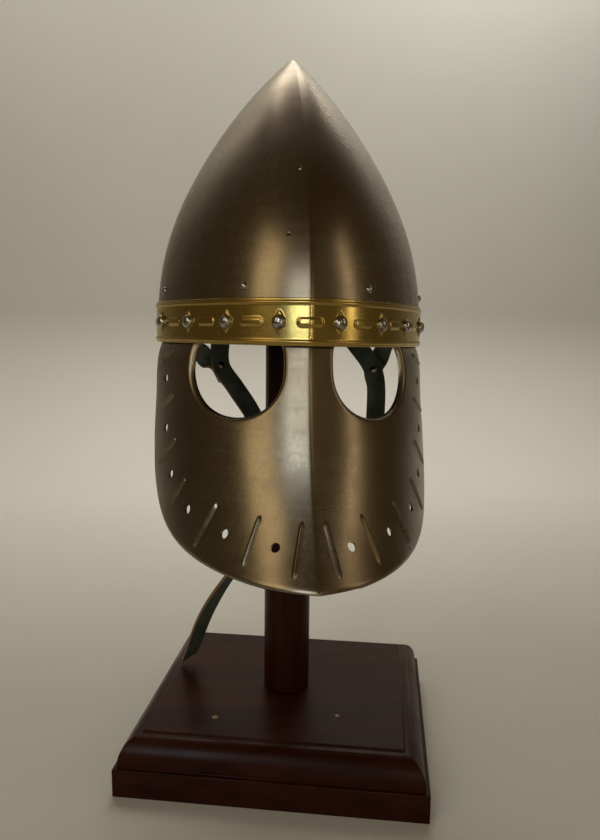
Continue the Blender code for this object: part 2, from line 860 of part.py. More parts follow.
def fold_stations():
    """The short strap's end: down to the ring's top bar, round it and back up."""
    bar, up, through = ring_axes()
    turn = math.degrees(math.atan2(bar[1], bar[0]))
    centre = ring_seat() + up * (RING_ROOM_HIGH + RING_BAR) / 2
    radius = fold_radius()
    close = STRAP_WALL / 2 + GAP
    path = [(-close, 6.0), (-close, 4.6), (-close, 3.0), (-0.8 * radius, 1.2)]
    spots = [(aside, lift * radius) for aside, lift in path]
    for degrees in (180, 225, 270, 315, 360):
        angle = math.radians(degrees)
        spots.append((radius * math.cos(angle), radius * math.sin(angle)))
    spots += [(-aside, lift * radius) for aside, lift in reversed(path[1:])]
    return [(*(centre + through * aside + up * lift), turn) for aside, lift in spots]


def matched_turns(stations):
    """Turns of the stations, without jumps of half a turn between them."""
    rows = [list(station) for station in stations]
    for before, row in zip(rows, rows[1:]):
        while row[3] - before[3] > 90:
            row[3] -= 180
        while row[3] - before[3] < -90:
            row[3] += 180
    return rows


def short_strap_stations():
    """The wearer's right strap, from the back of the skull down to the ring."""
    rows = leg_start("skull_rivet_back_right")
    rows += [route_station(row) for row in SHORT_STRAP_ROUTE]
    return matched_turns(rows + fold_stations()[:1])


def with_fold(rows):
    """The short strap's stations, with the fold round the ring's bar after them."""
    fold = matched_turns([rows[-1]] + fold_stations()[1:])
    return np.concatenate([rows, np.array(fold)[1:]])


def long_strap_stations():
    """The wearer's left strap, through the ring and down to the free end's tip."""
    bar, up, through = ring_axes()
    turn = math.degrees(math.atan2(bar[1], bar[0]))
    low = ring_seat() - up * (RING_ROOM_HIGH - STRAP_WALL) / 2 + up * 2 * GAP
    rows = leg_start("skull_rivet_back_left")
    rows += [route_station(row) for row in LONG_STRAP_ROUTE]
    rows.append((*(low + through * STRAP_WIDTH * 0.6), turn))
    rows.append((*(low - through * STRAP_WIDTH * 0.6), turn))
    rows += [route_station(row) for row in FREE_END_ROUTE]
    rows.append(tip_station())
    return matched_turns(rows)


def joint_place(stations):
    """The strap's joint: its place, front normal and the stretch of strap after it."""
    fine = resampled(stations, 600)
    places, along, across, normal = ribbon_frames(fine)
    joint = np.array(stations[3 + JOINT_ROW][:3])
    at = int(np.argmin(np.linalg.norm(places - joint, axis=1)))
    normal = normal * -np.sign(normal[at, 1])
    step = np.linalg.norm(places[at + 1] - places[at])
    after = at + int(STRAP_WIDTH * 0.8 / step)
    return places[[at, after]], normal[[at, after]], fine[[at, after], 3]


def leg_stations(stations, side_rivet, side_route):
    """A side leg: from its rivet down to the joint, then flat behind the long leg."""
    places, normals, turns = joint_place(stations)
    ends = places - normals * (STRAP_WALL + 2 * GAP + FACET_ROOM)
    rows = leg_start(side_rivet) + [route_station(row) for row in side_route]
    away = np.array(rows[-1][:3]) - ends[0]
    away -= normals[0] * np.dot(away, normals[0])
    away *= STRAP_WIDTH * 0.7 / np.linalg.norm(away)
    rows.append((*(ends[0] + away - normals[0] * 1.5 * STRAP_WALL), turns[0]))
    rows.append((*ends[0], turns[0]))
    rows.append((*ends[1], turns[1]))
    return matched_turns(rows)


def build_strap_pair(frame, word, stations, side_rivet, side_route, back_rivet, slant, count):
    """A forked strap: a long leg, a short leg behind it and the rivet that joins them."""
    places, normals, turns = joint_place(stations)
    joint, normal = places[0], normals[0]
    rows = resampled(stations, count)
    if word == "right":
        rows = with_fold(rows)
    main = add_object(f"strap_{word}", *ribbon(rows, slant), "leather", frame)
    rows = leg_stations(stations, side_rivet, side_route)
    leg = add_object(f"strap_{word}_side_leg", *ribbon(resampled(rows, 14)), "leather", frame)
    reach = 2 * STRAP_WALL
    cut = cutter(f"joint_hole_{word}", *rod(joint, normal, SHANK_RADIUS + GAP, 3 * reach), frame)
    combine(main, cut, "DIFFERENCE")
    combine(leg, cut, "DIFFERENCE")
    for name, piece in ((back_rivet, main), (side_rivet, leg)):
        seat, axis = next((s, a) for n, s, a in skull_rivet_seats() if n == name)
        hole = rod(seat, axis, SHANK_RADIUS + GAP, 2 * reach)
        combine(piece, cutter(f"{name}_hole", *hole, frame), "DIFFERENCE")
    shank = 2 * STRAP_WALL + 2 * GAP + FACET_ROOM + SHANK_TAIL
    shape, faces = turned(
        rivet_profile(JOINT_RIVET_RADIUS, JOINT_RIVET_RISE, shank), RIVET_SIDES
    )
    seat = joint + normal * STRAP_WALL / 2
    add_object(f"strap_rivet_{word}", aimed(shape, seat, normal), faces, "rivet_steel", frame)


def build_fold_rivet(frame, strap):
    """The small rivet that closes the short strap's fold above the ring."""
    bar, up, through = ring_axes()
    centre = ring_seat() + up * ((RING_ROOM_HIGH + RING_BAR) / 2 + 3.8 * fold_radius())
    hole = rod(centre, through, SHANK_RADIUS + GAP, 3 * STRAP_WALL)
    combine(strap, cutter("fold_hole", *hole, frame), "DIFFERENCE")
    shank = 2 * STRAP_WALL + 2 * GAP + SHANK_TAIL
    shape, faces = turned(
        rivet_profile(JOINT_RIVET_RADIUS, JOINT_RIVET_RISE, shank), RIVET_SIDES
    )
    seat = centre + through * (STRAP_WALL + GAP)
    add_object("strap_rivet_fold", aimed(shape, seat, through), faces, "rivet_steel", frame)


def build_ring(frame):
    """The plain steel ring behind the chin that the straps meet at."""
    bar, up, through = ring_axes()
    half_room = (RING_ROOM_ACROSS / 2, RING_ROOM_HIGH / 2)
    points = []
    for grow in (0.0, RING_BAR):
        for depth in (-RING_BAR / 2, RING_BAR / 2):
            for side, level in ((-1, -1), (1, -1), (1, 1), (-1, 1)):
                spot = ring_seat() + bar * side * (half_room[0] + grow)
                spot = spot + up * level * (half_room[1] + grow)
                points.append(tuple(spot + through * depth))
    faces = []
    for k in range(4):
        after = (k + 1) % 4
        faces.append((k, after, 4 + after, 4 + k))
        faces.append((8 + k, 8 + after, 12 + after, 12 + k))
        faces.append((k, after, 8 + after, 8 + k))
        faces.append((4 + k, 4 + after, 12 + after, 12 + k))
    add_object("strap_ring", points, faces, "ring_steel", frame)


def build_straps(frame):
    """Both forked straps and the ring."""
    build_strap_pair(
        frame,
        "right",
        short_strap_stations(),
        "skull_rivet_side_right",
        SHORT_SIDE_ROUTE,
        "skull_rivet_back_right",
        0.0,
        24,
    )
    build_strap_pair(
        frame,
        "left",
        long_strap_stations(),
        "skull_rivet_side_left",
        LONG_SIDE_ROUTE,
        "skull_rivet_back_left",
        -TIP_SLANT,
        42,
    )
    build_ring(frame)
    build_fold_rivet(frame, bpy.data.objects["strap_right"])


def base_profile():
    """Rows of inset and height of the moulded base, from its underside to its top."""
    rows = [(0.0, 0.0), (0.0, PLINTH_HEIGHT), (LEDGE_WIDTH, PLINTH_HEIGHT)]
    start = (LEDGE_WIDTH, PLINTH_HEIGHT + LEDGE_RISE)
    end = (MOULDING_WIDTH - ARRIS_WIDTH, BASE_HEIGHT - ARRIS_RISE)
    for k in range(6):
        turn = math.pi / 2 * k / 5
        inset = end[0] - (end[0] - start[0]) * math.cos(turn)
        height = start[1] + (end[1] - start[1]) * math.sin(turn)
        rows.append((inset, height))
    rows.append((end[0], BASE_HEIGHT))
    rows.append((MOULDING_WIDTH, BASE_HEIGHT))
    return rows


def build_base(frame):
    """The moulded wooden base, with a socket for the post's tenon."""
    points = []
    rows = base_profile()
    for inset, height in rows:
        half = (BASE_WIDTH / 2 - inset, BASE_DEPTH / 2 - inset)
        for side, back in ((-1, -1), (1, -1), (1, 1), (-1, 1)):
            points.append((side * half[0], back * half[1], height))
    faces = ring_faces(len(rows), 4)
    faces.append((0, 1, 2, 3))
    end = 4 * (len(rows) - 1)
    faces.append((end, end + 1, end + 2, end + 3))
    base = add_object("stand_base", points, faces, "mahogany", frame)
    socket = turned(
        [
            (0.0, BASE_HEIGHT + GAP * 10),
            (TENON_RADIUS + GAP, BASE_HEIGHT + GAP * 10),
            (TENON_RADIUS + GAP, BASE_HEIGHT - TENON_LENGTH - GAP),
            (0.0, BASE_HEIGHT - TENON_LENGTH - GAP),
        ],
        BALL_SIDES,
    )
    combine(base, cutter("tenon_socket", *socket, frame), "DIFFERENCE")
    return base


def post_ball_level():
    """Height of the post's round top, raised until it just clears the skull inside."""
    angles = np.linspace(-math.pi, math.pi, 4 * AROUND + 1)
    heights = np.linspace(0.5, 0.985, 160) * SKULL_HEIGHT
    turn, level = np.meshgrid(angles, heights)
    inner = skull_point(turn, level) - SKULL_WALL * outward(skull_point, turn, level)
    matrix = np.array(helmet_matrix())
    inner = inner.reshape(-1, 3) @ matrix[:3, :3].T + matrix[:3, 3]
    room = POST_RADIUS + GAP + FACET_ROOM
    aside = np.hypot(inner[:, 0], inner[:, 1])
    near = inner[aside < room]
    drop = np.sqrt(room**2 - aside[aside < room] ** 2)
    return float(np.min(near[:, 2] - drop))


def build_post(frame):
    """The turned post, with a tenon below and a round top that carries the skull."""
    level = post_ball_level()
    rows = [
        (0.0, BASE_HEIGHT - TENON_LENGTH),
        (TENON_RADIUS, BASE_HEIGHT - TENON_LENGTH),
        (TENON_RADIUS, BASE_HEIGHT + GAP),
        (POST_RADIUS, BASE_HEIGHT + GAP),
    ]
    for degrees in (0, 25, 50, 72):
        turn = math.radians(degrees)
        rows.append((POST_RADIUS * math.cos(turn), level + POST_RADIUS * math.sin(turn)))
    rows.append((0.0, level + POST_RADIUS))
    add_object("stand_post", *turned(rows, BALL_SIDES), "mahogany", frame)


def add_frame(name, matrix):
    """An empty that carries a group of pieces."""
    made = bpy.data.objects.new(name, None)
    bpy.context.scene.collection.objects.link(made)
    made.matrix_world = matrix
    return made


def main():
    """Build every piece."""
    clear_scene()
    helmet = add_frame("helmet_frame", helmet_matrix())
    stand = add_frame("stand_frame", Matrix.Rotation(STAND_TURN, 4, "Z"))
    band_holes = shank_holes(band_rivet_seats(), BAND_HOLE_REACH, helmet, "band_rivet_holes")
    build_skull(helmet, band_holes)
    build_band(helmet, band_holes)
    build_plate(helmet, band_holes)
    build_rivets(helmet)
    build_straps(helmet)
    build_base(stand)
    build_post(stand)


main()
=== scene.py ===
"""Spectacle guard helmet on a wooden stand: the detailed pieces, their finishes and the stage.

Every new piece is a surface worked out with numpy in the helmet's own frame, where the
brow band's middle is the origin, +X is the wearer's left, -Y the front and +Z up, and is
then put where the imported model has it. Lengths are in metres.
"""

import math

import bmesh
import bpy
import numpy as np
from bpy.props import FloatProperty, FloatVectorProperty, IntProperty, PointerProperty
from mathutils import Matrix, Vector


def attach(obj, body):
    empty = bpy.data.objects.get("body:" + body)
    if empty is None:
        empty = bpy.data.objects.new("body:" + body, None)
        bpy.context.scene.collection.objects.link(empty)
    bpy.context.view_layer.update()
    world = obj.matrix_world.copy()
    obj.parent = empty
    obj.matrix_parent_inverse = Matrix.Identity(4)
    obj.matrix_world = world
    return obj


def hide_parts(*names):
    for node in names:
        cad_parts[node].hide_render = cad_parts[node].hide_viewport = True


bl_info = {
    "name": "Spectacle guard helmet",
    "version": (1, 0, 0),
    "blender": (4, 5, 0),
    "location": "3D View > Sidebar > Helmet",
    "description": "Makes the detailed pieces, finishes and stage of a spectacle guard helmet",
    "category": "Object",
}

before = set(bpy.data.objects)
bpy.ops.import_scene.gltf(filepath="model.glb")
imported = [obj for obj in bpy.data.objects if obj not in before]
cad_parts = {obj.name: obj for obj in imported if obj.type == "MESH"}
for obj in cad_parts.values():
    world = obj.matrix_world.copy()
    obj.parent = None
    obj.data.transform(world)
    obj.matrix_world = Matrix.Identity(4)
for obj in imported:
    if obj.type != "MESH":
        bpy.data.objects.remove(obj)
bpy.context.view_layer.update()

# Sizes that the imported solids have, repeated so that each piece fits them
HALF_WIDTH = 0.1003
FRONT_DEPTH = 0.1222
BACK_DEPTH = 0.1040
FRONT_FLATNESS = 0.45
BACK_FLATNESS = 0.20
KEEL_RISE = 0.0045
KEEL_SPREAD = math.radians(7.0)
SKULL_HEIGHT = 0.1990
SKULL_WALL = 0.0015
SKULL_LAP = 0.0100
POINT_SET_BACK = 0.0134
BAND_HEIGHT = 0.0291
BAND_WALL = 0.0010
PLATE_DROP = 0.1490
PLATE_WALL = 0.0015
PLATE_LAP = 0.0100
PLATE_HALF_ANGLE = math.radians(80.8)
RIM_CORNER_ACROSS = 5.25
RIM_CORNER_DOWN = 2.0
UNROLLED_RADIUS = 0.1100
EYE_MIDDLE = math.radians(28.0) * UNROLLED_RADIUS
EYE_LEVEL = 0.0290
EYE_HALF_WIDTH = 0.0357
EYE_UP = 0.0220
EYE_DOWN = 0.0305
EYE_UPPER_SQUARENESS = 4.0
EYE_LOWER_SQUARENESS = 2.1
LIP_WIDTH = 0.0036
LIP_DEPTH = 0.0040
LACE_HOLE_RADIUS = 0.0030
BAND_RIVETS = 16
SKULL_RIVET_LEVEL = 0.0220
SHANK_RADIUS = 0.0016
STRAP_WIDTH = 0.0150
STRAP_WALL = 0.0024
STRAP_END = 0.0090
RING_BAR = 0.0028
RING_ROOM_ACROSS = 0.0170
RING_ROOM_HIGH = 0.0090
BASE_WIDTH = 0.2300
BASE_DEPTH = 0.2052
BASE_HEIGHT = 0.0434
PLINTH_HEIGHT = 0.0215
LEDGE_WIDTH = 0.0030
LEDGE_RISE = 0.0020
MOULDING_WIDTH = 0.0196
ARRIS = 0.0014
POST_RADIUS = 0.0187
BALL_LEVEL = 0.5097
BAND_LEVEL = 0.3431
HELMET_SHIFT = (-0.0012, -0.0135)
LEAN_BACK = math.radians(2.0)
LEAN_SIDE = math.radians(0.7)
STAND_TURN = math.radians(-13.2)
GAP = 0.0003
FACET_ROOM = 0.0006
FACETS_AROUND = 48

# The skull's width share is (1 - h)(1 + a h + b h^2 + c h^3 + d h^4) at height share h
SKULL_CURVE = (0.880, 0.379, -1.173, 1.084)
POINT_BLUNTNESS = 0.002

# Columns: drop share of PLATE_DROP, width share, depth share, flatness share
PLATE_SECTIONS = np.array(
    [
        (-0.08, 1.000, 1.000, 1.00),
        (0.07, 1.000, 1.000, 1.00),
        (0.12, 1.027, 1.016, 0.97),
        (0.20, 1.052, 1.034, 0.92),
        (0.30, 1.060, 1.057, 0.85),
        (0.40, 1.068, 1.087, 0.78),
        (0.50, 1.081, 1.129, 0.73),
        (0.60, 1.092, 1.180, 0.73),
        (0.70, 1.104, 1.244, 0.73),
        (0.80, 1.113, 1.322, 0.73),
        (0.90, 1.124, 1.415, 0.73),
        (1.00, 1.133, 1.523, 0.73),
    ]
)

# Columns: angle from the keel in degrees, drop share of PLATE_DROP
LACE_HOLES = np.array(
    [
        (64.1, 0.266),
        (61.3, 0.494),
        (54.8, 0.692),
        (44.0, 0.812),
        (28.4, 0.857),
        (12.0, 0.868),
    ]
)

# Columns: outer end and inner end of each ray, as angle in degrees and drop share
RAYS = np.array(
    [
        (73.0, 0.190, 59.5, 0.130),
        (70.5, 0.422, 56.4, 0.341),
        (65.8, 0.679, 53.0, 0.532),
        (56.3, 0.867, 45.8, 0.691),
        (40.1, 0.945, 31.4, 0.749),
        (22.2, 0.955, 16.4, 0.763),
        (7.0, 0.962, 3.5, 0.769),
    ]
)

# Share of the band's length from the keel to the wearer's left
SKULL_RIVETS = {
    "front_right": -0.073,
    "front_left": 0.073,
    "side_right": -0.220,
    "side_left": 0.240,
    "back_right": -0.427,
    "back_left": 0.427,
}

# Strap routes. Columns: share of HALF_WIDTH to the left, of BACK_DEPTH to the back, of
# PLATE_DROP up from the band, and the turn of the strap's width from X in degrees
SHORT_STRAP_ROUTE = (
    (-0.522, 0.330, -0.080, 20.0),
    (-0.519, 0.240, -0.220, 16.0),
    (-0.409, 0.185, -0.330, 14.0),
    (-0.284, 0.115, -0.454, 16.0),
    (-0.197, -0.120, -0.600, 35.0),
    (-0.148, -0.220, -0.750, 65.0),
)
SHORT_SIDE_ROUTE = ((-0.827, 0.020, -0.060, -35.0), (-0.690, 0.270, -0.140, -5.0))
LONG_STRAP_ROUTE = (
    (0.566, 0.330, -0.080, -22.0),
    (0.714, 0.240, -0.235, -14.0),
    (0.734, 0.195, -0.440, -5.0),
    (0.630, -0.010, -0.640, 25.0),
    (0.364, -0.170, -0.800, 60.0),
)
LONG_SIDE_ROUTE = ((0.847, 0.120, -0.040, 45.0), (0.803, 0.290, -0.120, 10.0))
JOINT_ROW = 4
RING_PLACE = (-0.128, -0.245, -0.965)
FREE_END_ROUTE = ((-0.345, -0.215, -1.175, 62.0), (-0.517, -0.095, -1.375, 46.0))
TIP_TURN = 42.0
TIP_ON_BASE = (-0.940, 0.258)
TIP_SLANT = 0.0050
TIP_CLEARANCE = 0.0016

# Worked details that have no setting in the panel
BAR_HALF_LENGTH = 0.0060
BAR_REACH = 0.0033
BAR_SHOULDER = 0.0020
OVAL_HALF_WIDTH = 0.0037
OVAL_HALF_HEIGHT = 0.0080
OVAL_SHOULDER = 0.0016
BEAD_HALF_WIDTH = 0.0017
BAND_EDGE_WIDTH = 0.0005
BAND_EDGE_DROP = 0.0004
RAY_TAPER = 0.0045
RAY_ROUNDNESS = 0.03
RAY_FOOT = 0.0006
RAY_SINK = 0.00012
EDGE_BULGE = 0.0004
RING_BEND = 0.0026
POST_ARRIS = 0.0006
JOINT_RIVET_RADIUS = 0.0028
JOINT_RIVET_RISE = 0.0014
BAND_RIVET_TAIL = 0.0026
SKULL_RIVET_TAIL = 0.0022
JOINT_RIVET_TAIL = 0.0024

# Chips in the base's top: place and radius
CHIPS = (((-0.060, -0.048, BASE_HEIGHT), 0.0030), ((0.034, -0.055, BASE_HEIGHT), 0.0022))

# Pits in the skull: angle from the keel in degrees, share of the height above the band
SKULL_MARKS = ((-3.5, 0.448), (-8.1, 0.211))
PIT_RADIUS = 0.0014

# The studio. Columns: name, place, aim, width and height, power, colour, spread in degrees
ROOM_COLOUR = (0.22, 0.155, 0.07, 1.0)
ROOM_STRENGTH = 0.32
MIDDLE = (0.0, -0.02, 0.36)
LIGHTS = (
    ("window", (-0.62, -1.05, 0.68), MIDDLE, (0.17, 0.62), 2.1, (0.80, 0.92, 1.0), 180),
    ("front_strip", (0.02, -1.45, 0.30), MIDDLE, (0.045, 1.0), 2.3, (1.0, 0.90, 0.72), 180),
    ("left_wall", (-1.05, -0.65, 0.90), MIDDLE, (0.5, 0.8), 1.8, (1.0, 0.80, 0.48), 180),
    ("right_wall", (1.15, -0.42, 0.70), MIDDLE, (0.14, 0.9), 1.0, (1.0, 0.84, 0.58), 180),
    ("right_fill", (0.60, -1.10, 0.60), MIDDLE, (0.20, 0.6), 0.5, (1.0, 0.80, 0.45), 180),
    ("wall_left", (-0.7, 0.75, 2.0), (-0.5, 1.5, 0.70), (0.8, 0.5), 4.8, (1.0, 0.97, 0.90), 100),
    ("wall_right", (0.7, 0.75, 2.0), (0.5, 1.5, 0.70), (0.8, 0.5), 8.6, (1.0, 0.98, 0.94), 100),
    ("overhead", (0.0, 0.90, 1.7), (0.0, 0.40, 0.0), (1.0, 0.5), 2.6, (1.0, 0.94, 0.84), 100),
)

# The camera: place, yaw, pitch and roll in degrees, and the view's focal length in pixels
CAMERA_PLACE = (-0.0601, -0.5712, 0.3544)
CAMERA_TURN = (-6.895, 8.599, 0.6953)
FOCAL_PIXELS = 726.4
IMAGE_SIZE = (600, 840)


def length_property(name, description, metres):
    """A length that the user can change."""
    return FloatProperty(name=name, description=description, default=metres, unit="LENGTH")


class HelmetSizes(bpy.types.PropertyGroup):
    """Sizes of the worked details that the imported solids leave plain."""

    keel_softness: FloatProperty(
        name="Keel softness",
        description="Angle over which the keel's crease is rounded",
        default=math.radians(0.55),
        subtype="ANGLE",
    )
    bead_inset: length_property("Bead inset", "Distance of the band's beads from its edges", 0.0026)
    bead_rise: length_property("Bead rise", "Height of the beads along the band's edges", 0.0008)
    boss_rise: length_property(
        "Boss rise", "Height of the bars and pointed ovals raised in the band", 0.0009
    )
    ray_rise: length_property(
        "Ray rise", "Height of the rays raised round the guard plate's edge", 0.0013
    )
    ray_half_width: length_property("Ray half width", "Half the width of a ray at its foot", 0.0023)
    rim_turn: length_property("Rim turn", "How far the guard plate's rim is turned inwards", 0.0016)
    rim_round: length_property(
        "Rim round", "Width over which the guard plate's rim turns inwards", 0.0030
    )
    rivet_radius: length_property(
        "Band rivet radius", "Radius of the big domed rivets in the band", 0.0046
    )
    rivet_rise: length_property("Band rivet rise", "Height of the big domed rivets", 0.0030)
    small_rivet_radius: length_property(
        "Small rivet radius", "Radius of the small domed rivets above the band", 0.0027
    )
    small_rivet_rise: length_property(
        "Small rivet rise", "Height of the small domed rivets", 0.0020
    )
    strap_corner: length_property("Strap corner", "Radius of the straps' rounded edges", 0.0006)
    wood_arris: length_property("Wood arris", "Rounding of the stand's edges", 0.0007)
    rivet_sides: IntProperty(
        name="Rivet sides",
        description="Number of facets round a rivet",
        default=32,
    )


def colour_property(name, description, colour):
    """A colour that the user can change."""
    return FloatVectorProperty(
        name=name,
        description=description,
        default=colour,
        subtype="COLOR",
        size=3,
        min=0.0,
        max=1.0,
    )


class HelmetColours(bpy.types.PropertyGroup):
    """Colours of the finishes."""

    steel: colour_property("Steel", "Polished steel", (0.32, 0.275, 0.21))
    steel_brown: colour_property("Steel patina", "Browned steel", (0.20, 0.15, 0.095))
    brass: colour_property("Brass", "Polished brass", (0.58, 0.44, 0.14))
    brass_brown: colour_property("Brass tarnish", "Tarnished brass", (0.42, 0.26, 0.07))
    rivet: colour_property("Rivets", "Rivet heads", (0.42, 0.40, 0.36))
    leather: colour_property("Leather", "Grain side of the straps", (0.050, 0.062, 0.054))
    leather_edge: colour_property("Raw edge", "Cut edge of the straps", (0.30, 0.17, 0.07))
    wood: colour_property("Mahogany", "Stained wood", (0.040, 0.0075, 0.0028))
    wood_dark: colour_property("Mahogany grain", "Dark grain", (0.009, 0.002, 0.001))
    wood_bare: colour_property("Bare wood", "Wood bared by a chip", (0.45, 0.30, 0.18))
    floor: colour_property("Floor", "Floor and backdrop", (0.62, 0.605, 0.555))


# Shapes ------------------------------------------------------------------------------


def spline(where, xs, ys):
    """Natural cubic spline: cubic pieces whose first and second slopes meet at each point."""
    count = len(xs)
    width = np.diff(xs)
    matrix = np.eye(count)
    right = np.zeros(count)
    inner = np.arange(1, count - 1)
    matrix[inner, inner - 1] = width[:-1]
    matrix[inner, inner] = 2 * (width[:-1] + width[1:])
    matrix[inner, inner + 1] = width[1:]
    slopes = np.diff(ys) / width
    right[1:-1] = 6 * np.diff(slopes)
    bend = np.linalg.solve(matrix, right)
    where = np.clip(np.asarray(where, dtype=float), xs[0], xs[-1])
    at = np.clip(np.searchsorted(xs, where) - 1, 0, count - 2)
    low = where - xs[at]
    high = xs[at + 1] - where
    step = width[at]
    curve = (bend[at] * high**3 + bend[at + 1] * low**3) / (6 * step)
    curve = curve + (ys[at] / step - bend[at] * step / 6) * high
    return curve + (ys[at + 1] / step - bend[at + 1] * step / 6) * low


def smooth(where, xs, ys):
    """Cubic Hermite curve through the points, with mean slopes, as the straps follow."""
    where = np.clip(np.asarray(where, dtype=float), xs[0], xs[-1])
    slopes = np.gradient(ys, xs)
    at = np.clip(np.searchsorted(xs, where) - 1, 0, len(xs) - 2)
    width = xs[at + 1] - xs[at]
    share = (where - xs[at]) / width
    low = (1 + 2 * share) * (1 - share) ** 2 * ys[at]
    low = low + share * (1 - share) ** 2 * width * slopes[at]
    high = share**2 * (3 - 2 * share) * ys[at + 1]
    return low + high + share**2 * (share - 1) * width * slopes[at + 1]


def swell(share):
    """Smooth step: 3s^2 - 2s^3 between nought and one."""
    share = np.clip(share, 0.0, 1.0)
    return share * share * (3 - 2 * share)


def plan(angle, half_width, front, back, front_flatness, keel, softness=0.0):
    """Almond plan: x = W sin t; y = -cos t (D - k)(1 - f sin^2 t) - k exp(-|t| / spread).

    The softness rounds |t| to sqrt(t^2 + e^2) - e, so that the keel is a narrow round
    ridge instead of a sharp crease.
    """
    side = np.sin(angle)
    ahead = np.cos(angle)
    cheeks = (front - keel) * (1 - front_flatness * side**2)
    nape = back * (1 - BACK_FLATNESS * side**2)
    y = -ahead * np.where(ahead > 0, cheeks, nape)
    near = np.sqrt(angle**2 + softness**2) - softness
    return half_width * side, y - keel * np.exp(-near / KEEL_SPREAD)


def band_plan(angle, inset, softness=0.0):
    """The band's plan, moved inwards by the inset."""
    return plan(
        angle,
        HALF_WIDTH - inset,
        FRONT_DEPTH - inset,
        BACK_DEPTH - inset,
        FRONT_FLATNESS,
        KEEL_RISE,
        softness,
    )


def band_length_table():
    """Angles round the band and the length run along it to each, from back to back."""
    fine = np.linspace(-math.pi, math.pi, 2881)
    x, y = band_plan(fine, 0.0)
    steps = np.hypot(np.diff(x), np.diff(y))
    return fine, np.concatenate([[0.0], np.cumsum(steps)])


def angles_round_band(shares):
    """Angles whose distance along the band is the given share of its length."""
    fine, run = band_length_table()
    return np.interp(np.asarray(shares) * run[-1] + run[-1] / 2, run, fine)


def skull_point(angle, height, softness=0.0):
    """The skull's outer face: plumb behind the band, then the plan shrinks to the point."""
    top = BAND_HEIGHT / 2
    rise = np.clip((height - top) / (SKULL_HEIGHT - top), 0.0, 1.0)
    a, b, c, d = SKULL_CURVE
    share = (1 - rise) * (1 + a * rise + b * rise**2 + c * rise**3 + d * rise**4)
    inset = BAND_WALL + GAP
    x, y = plan(
        angle,
        (HALF_WIDTH - inset) * share,
        (FRONT_DEPTH - inset) * share,
        (BACK_DEPTH - inset) * share,
        FRONT_FLATNESS,
        KEEL_RISE * share,
        softness,
    )
    blunt = POINT_BLUNTNESS * (SKULL_HEIGHT - top)
    lowered = height - blunt * np.exp((rise - 1) / POINT_BLUNTNESS)
    y = y + POINT_SET_BACK * rise
    return np.stack([x, y, np.broadcast_to(lowered, x.shape)], axis=-1)


def plate_point(angle, drop, softness=0.0):
    """The guard plate's outer face: the plan with width, depth and flatness by drop."""
    share = drop / PLATE_DROP
    drops, widths, depths, flats = PLATE_SECTIONS.T
    inset = BAND_WALL + SKULL_WALL + 2 * GAP + 2 * FACET_ROOM
    x, y = plan(
        angle,
        (HALF_WIDTH - inset) * spline(share, drops, widths),
        (FRONT_DEPTH - inset) * spline(share, drops, depths),
        BACK_DEPTH,
        FRONT_FLATNESS * spline(share, drops, flats),
        KEEL_RISE,
        softness,
    )
    return np.stack([x, y, np.broadcast_to(-drop, x.shape)], axis=-1)


def outward(surface, angle, level, softness=0.0):
    """Unit normals: the cross product of small steps along both parameters.

    It faces outwards where the level runs up, and is turned round where it runs down.
    """
    step = 1e-4
    along = surface(angle + step, level, softness) - surface(angle - step, level, softness)
    up = surface(angle, level + step / 10, softness) - surface(angle, level - step / 10, softness)
    normal = np.cross(along, up)
    normal /= np.maximum(np.linalg.norm(normal, axis=-1, keepdims=True), 1e-12)
    return normal * np.where(up[..., 2:] < 0, -1.0, 1.0)


def helmet_matrix():
    """Where the helmet's own frame stands on the stand."""
    place = Matrix.Translation((*HELMET_SHIFT, BAND_LEVEL))
    return place @ Matrix.Rotation(-LEAN_BACK, 4, "X") @ Matrix.Rotation(LEAN_SIDE, 4, "Y")


def stand_matrix():
    """The stand's turn round the vertical."""
    return Matrix.Rotation(STAND_TURN, 4, "Z")


def placed(points, matrix):
    """Points moved by a matrix."""
    turn = np.array(matrix)
    return points @ turn[:3, :3].T + turn[:3, 3]


def grid_quads(rows, columns, closed=True):
    """Corner numbers of the quads of a grid; its columns may run round and meet."""
    low = np.arange(rows - 1)[:, None] * columns
    here = np.arange(columns if closed else columns - 1)[None, :]
    after = (here + 1) % columns
    quads = [low + here, low + after, low + columns + after, low + columns + here]
    return np.stack(quads, axis=-1).reshape(-1, 4)


def lathe(profile, sides):
    """Rows of radius and height turned round Z: x = r cos t, y = r sin t, z = h."""
    profile = np.asarray(profile, dtype=float)
    turn = np.linspace(0, 2 * math.pi, sides, endpoint=False)
    radius, height = profile[:, :1], profile[:, 1:]
    flat = np.ones_like(turn)
    points = np.stack([radius * np.cos(turn), radius * np.sin(turn), height * flat], axis=-1)
    return points.reshape(-1, 3), grid_quads(len(profile), sides)


def aimed(points, seat, axis):
    """Points of a turned piece, with +Z along the axis and the origin on the seat."""
    turn = Vector((0.0, 0.0, 1.0)).rotation_difference(Vector(axis)).to_matrix()
    return points @ np.array(turn).T + np.asarray(seat)


def joined(pieces):
    """Several pieces of points and quads as one."""
    starts = np.cumsum([0] + [len(points) for points, quads in pieces[:-1]])
    points = np.concatenate([points for points, quads in pieces])
    quads = np.concatenate([quads + start for (_, quads), start in zip(pieces, starts)])
    return points, quads


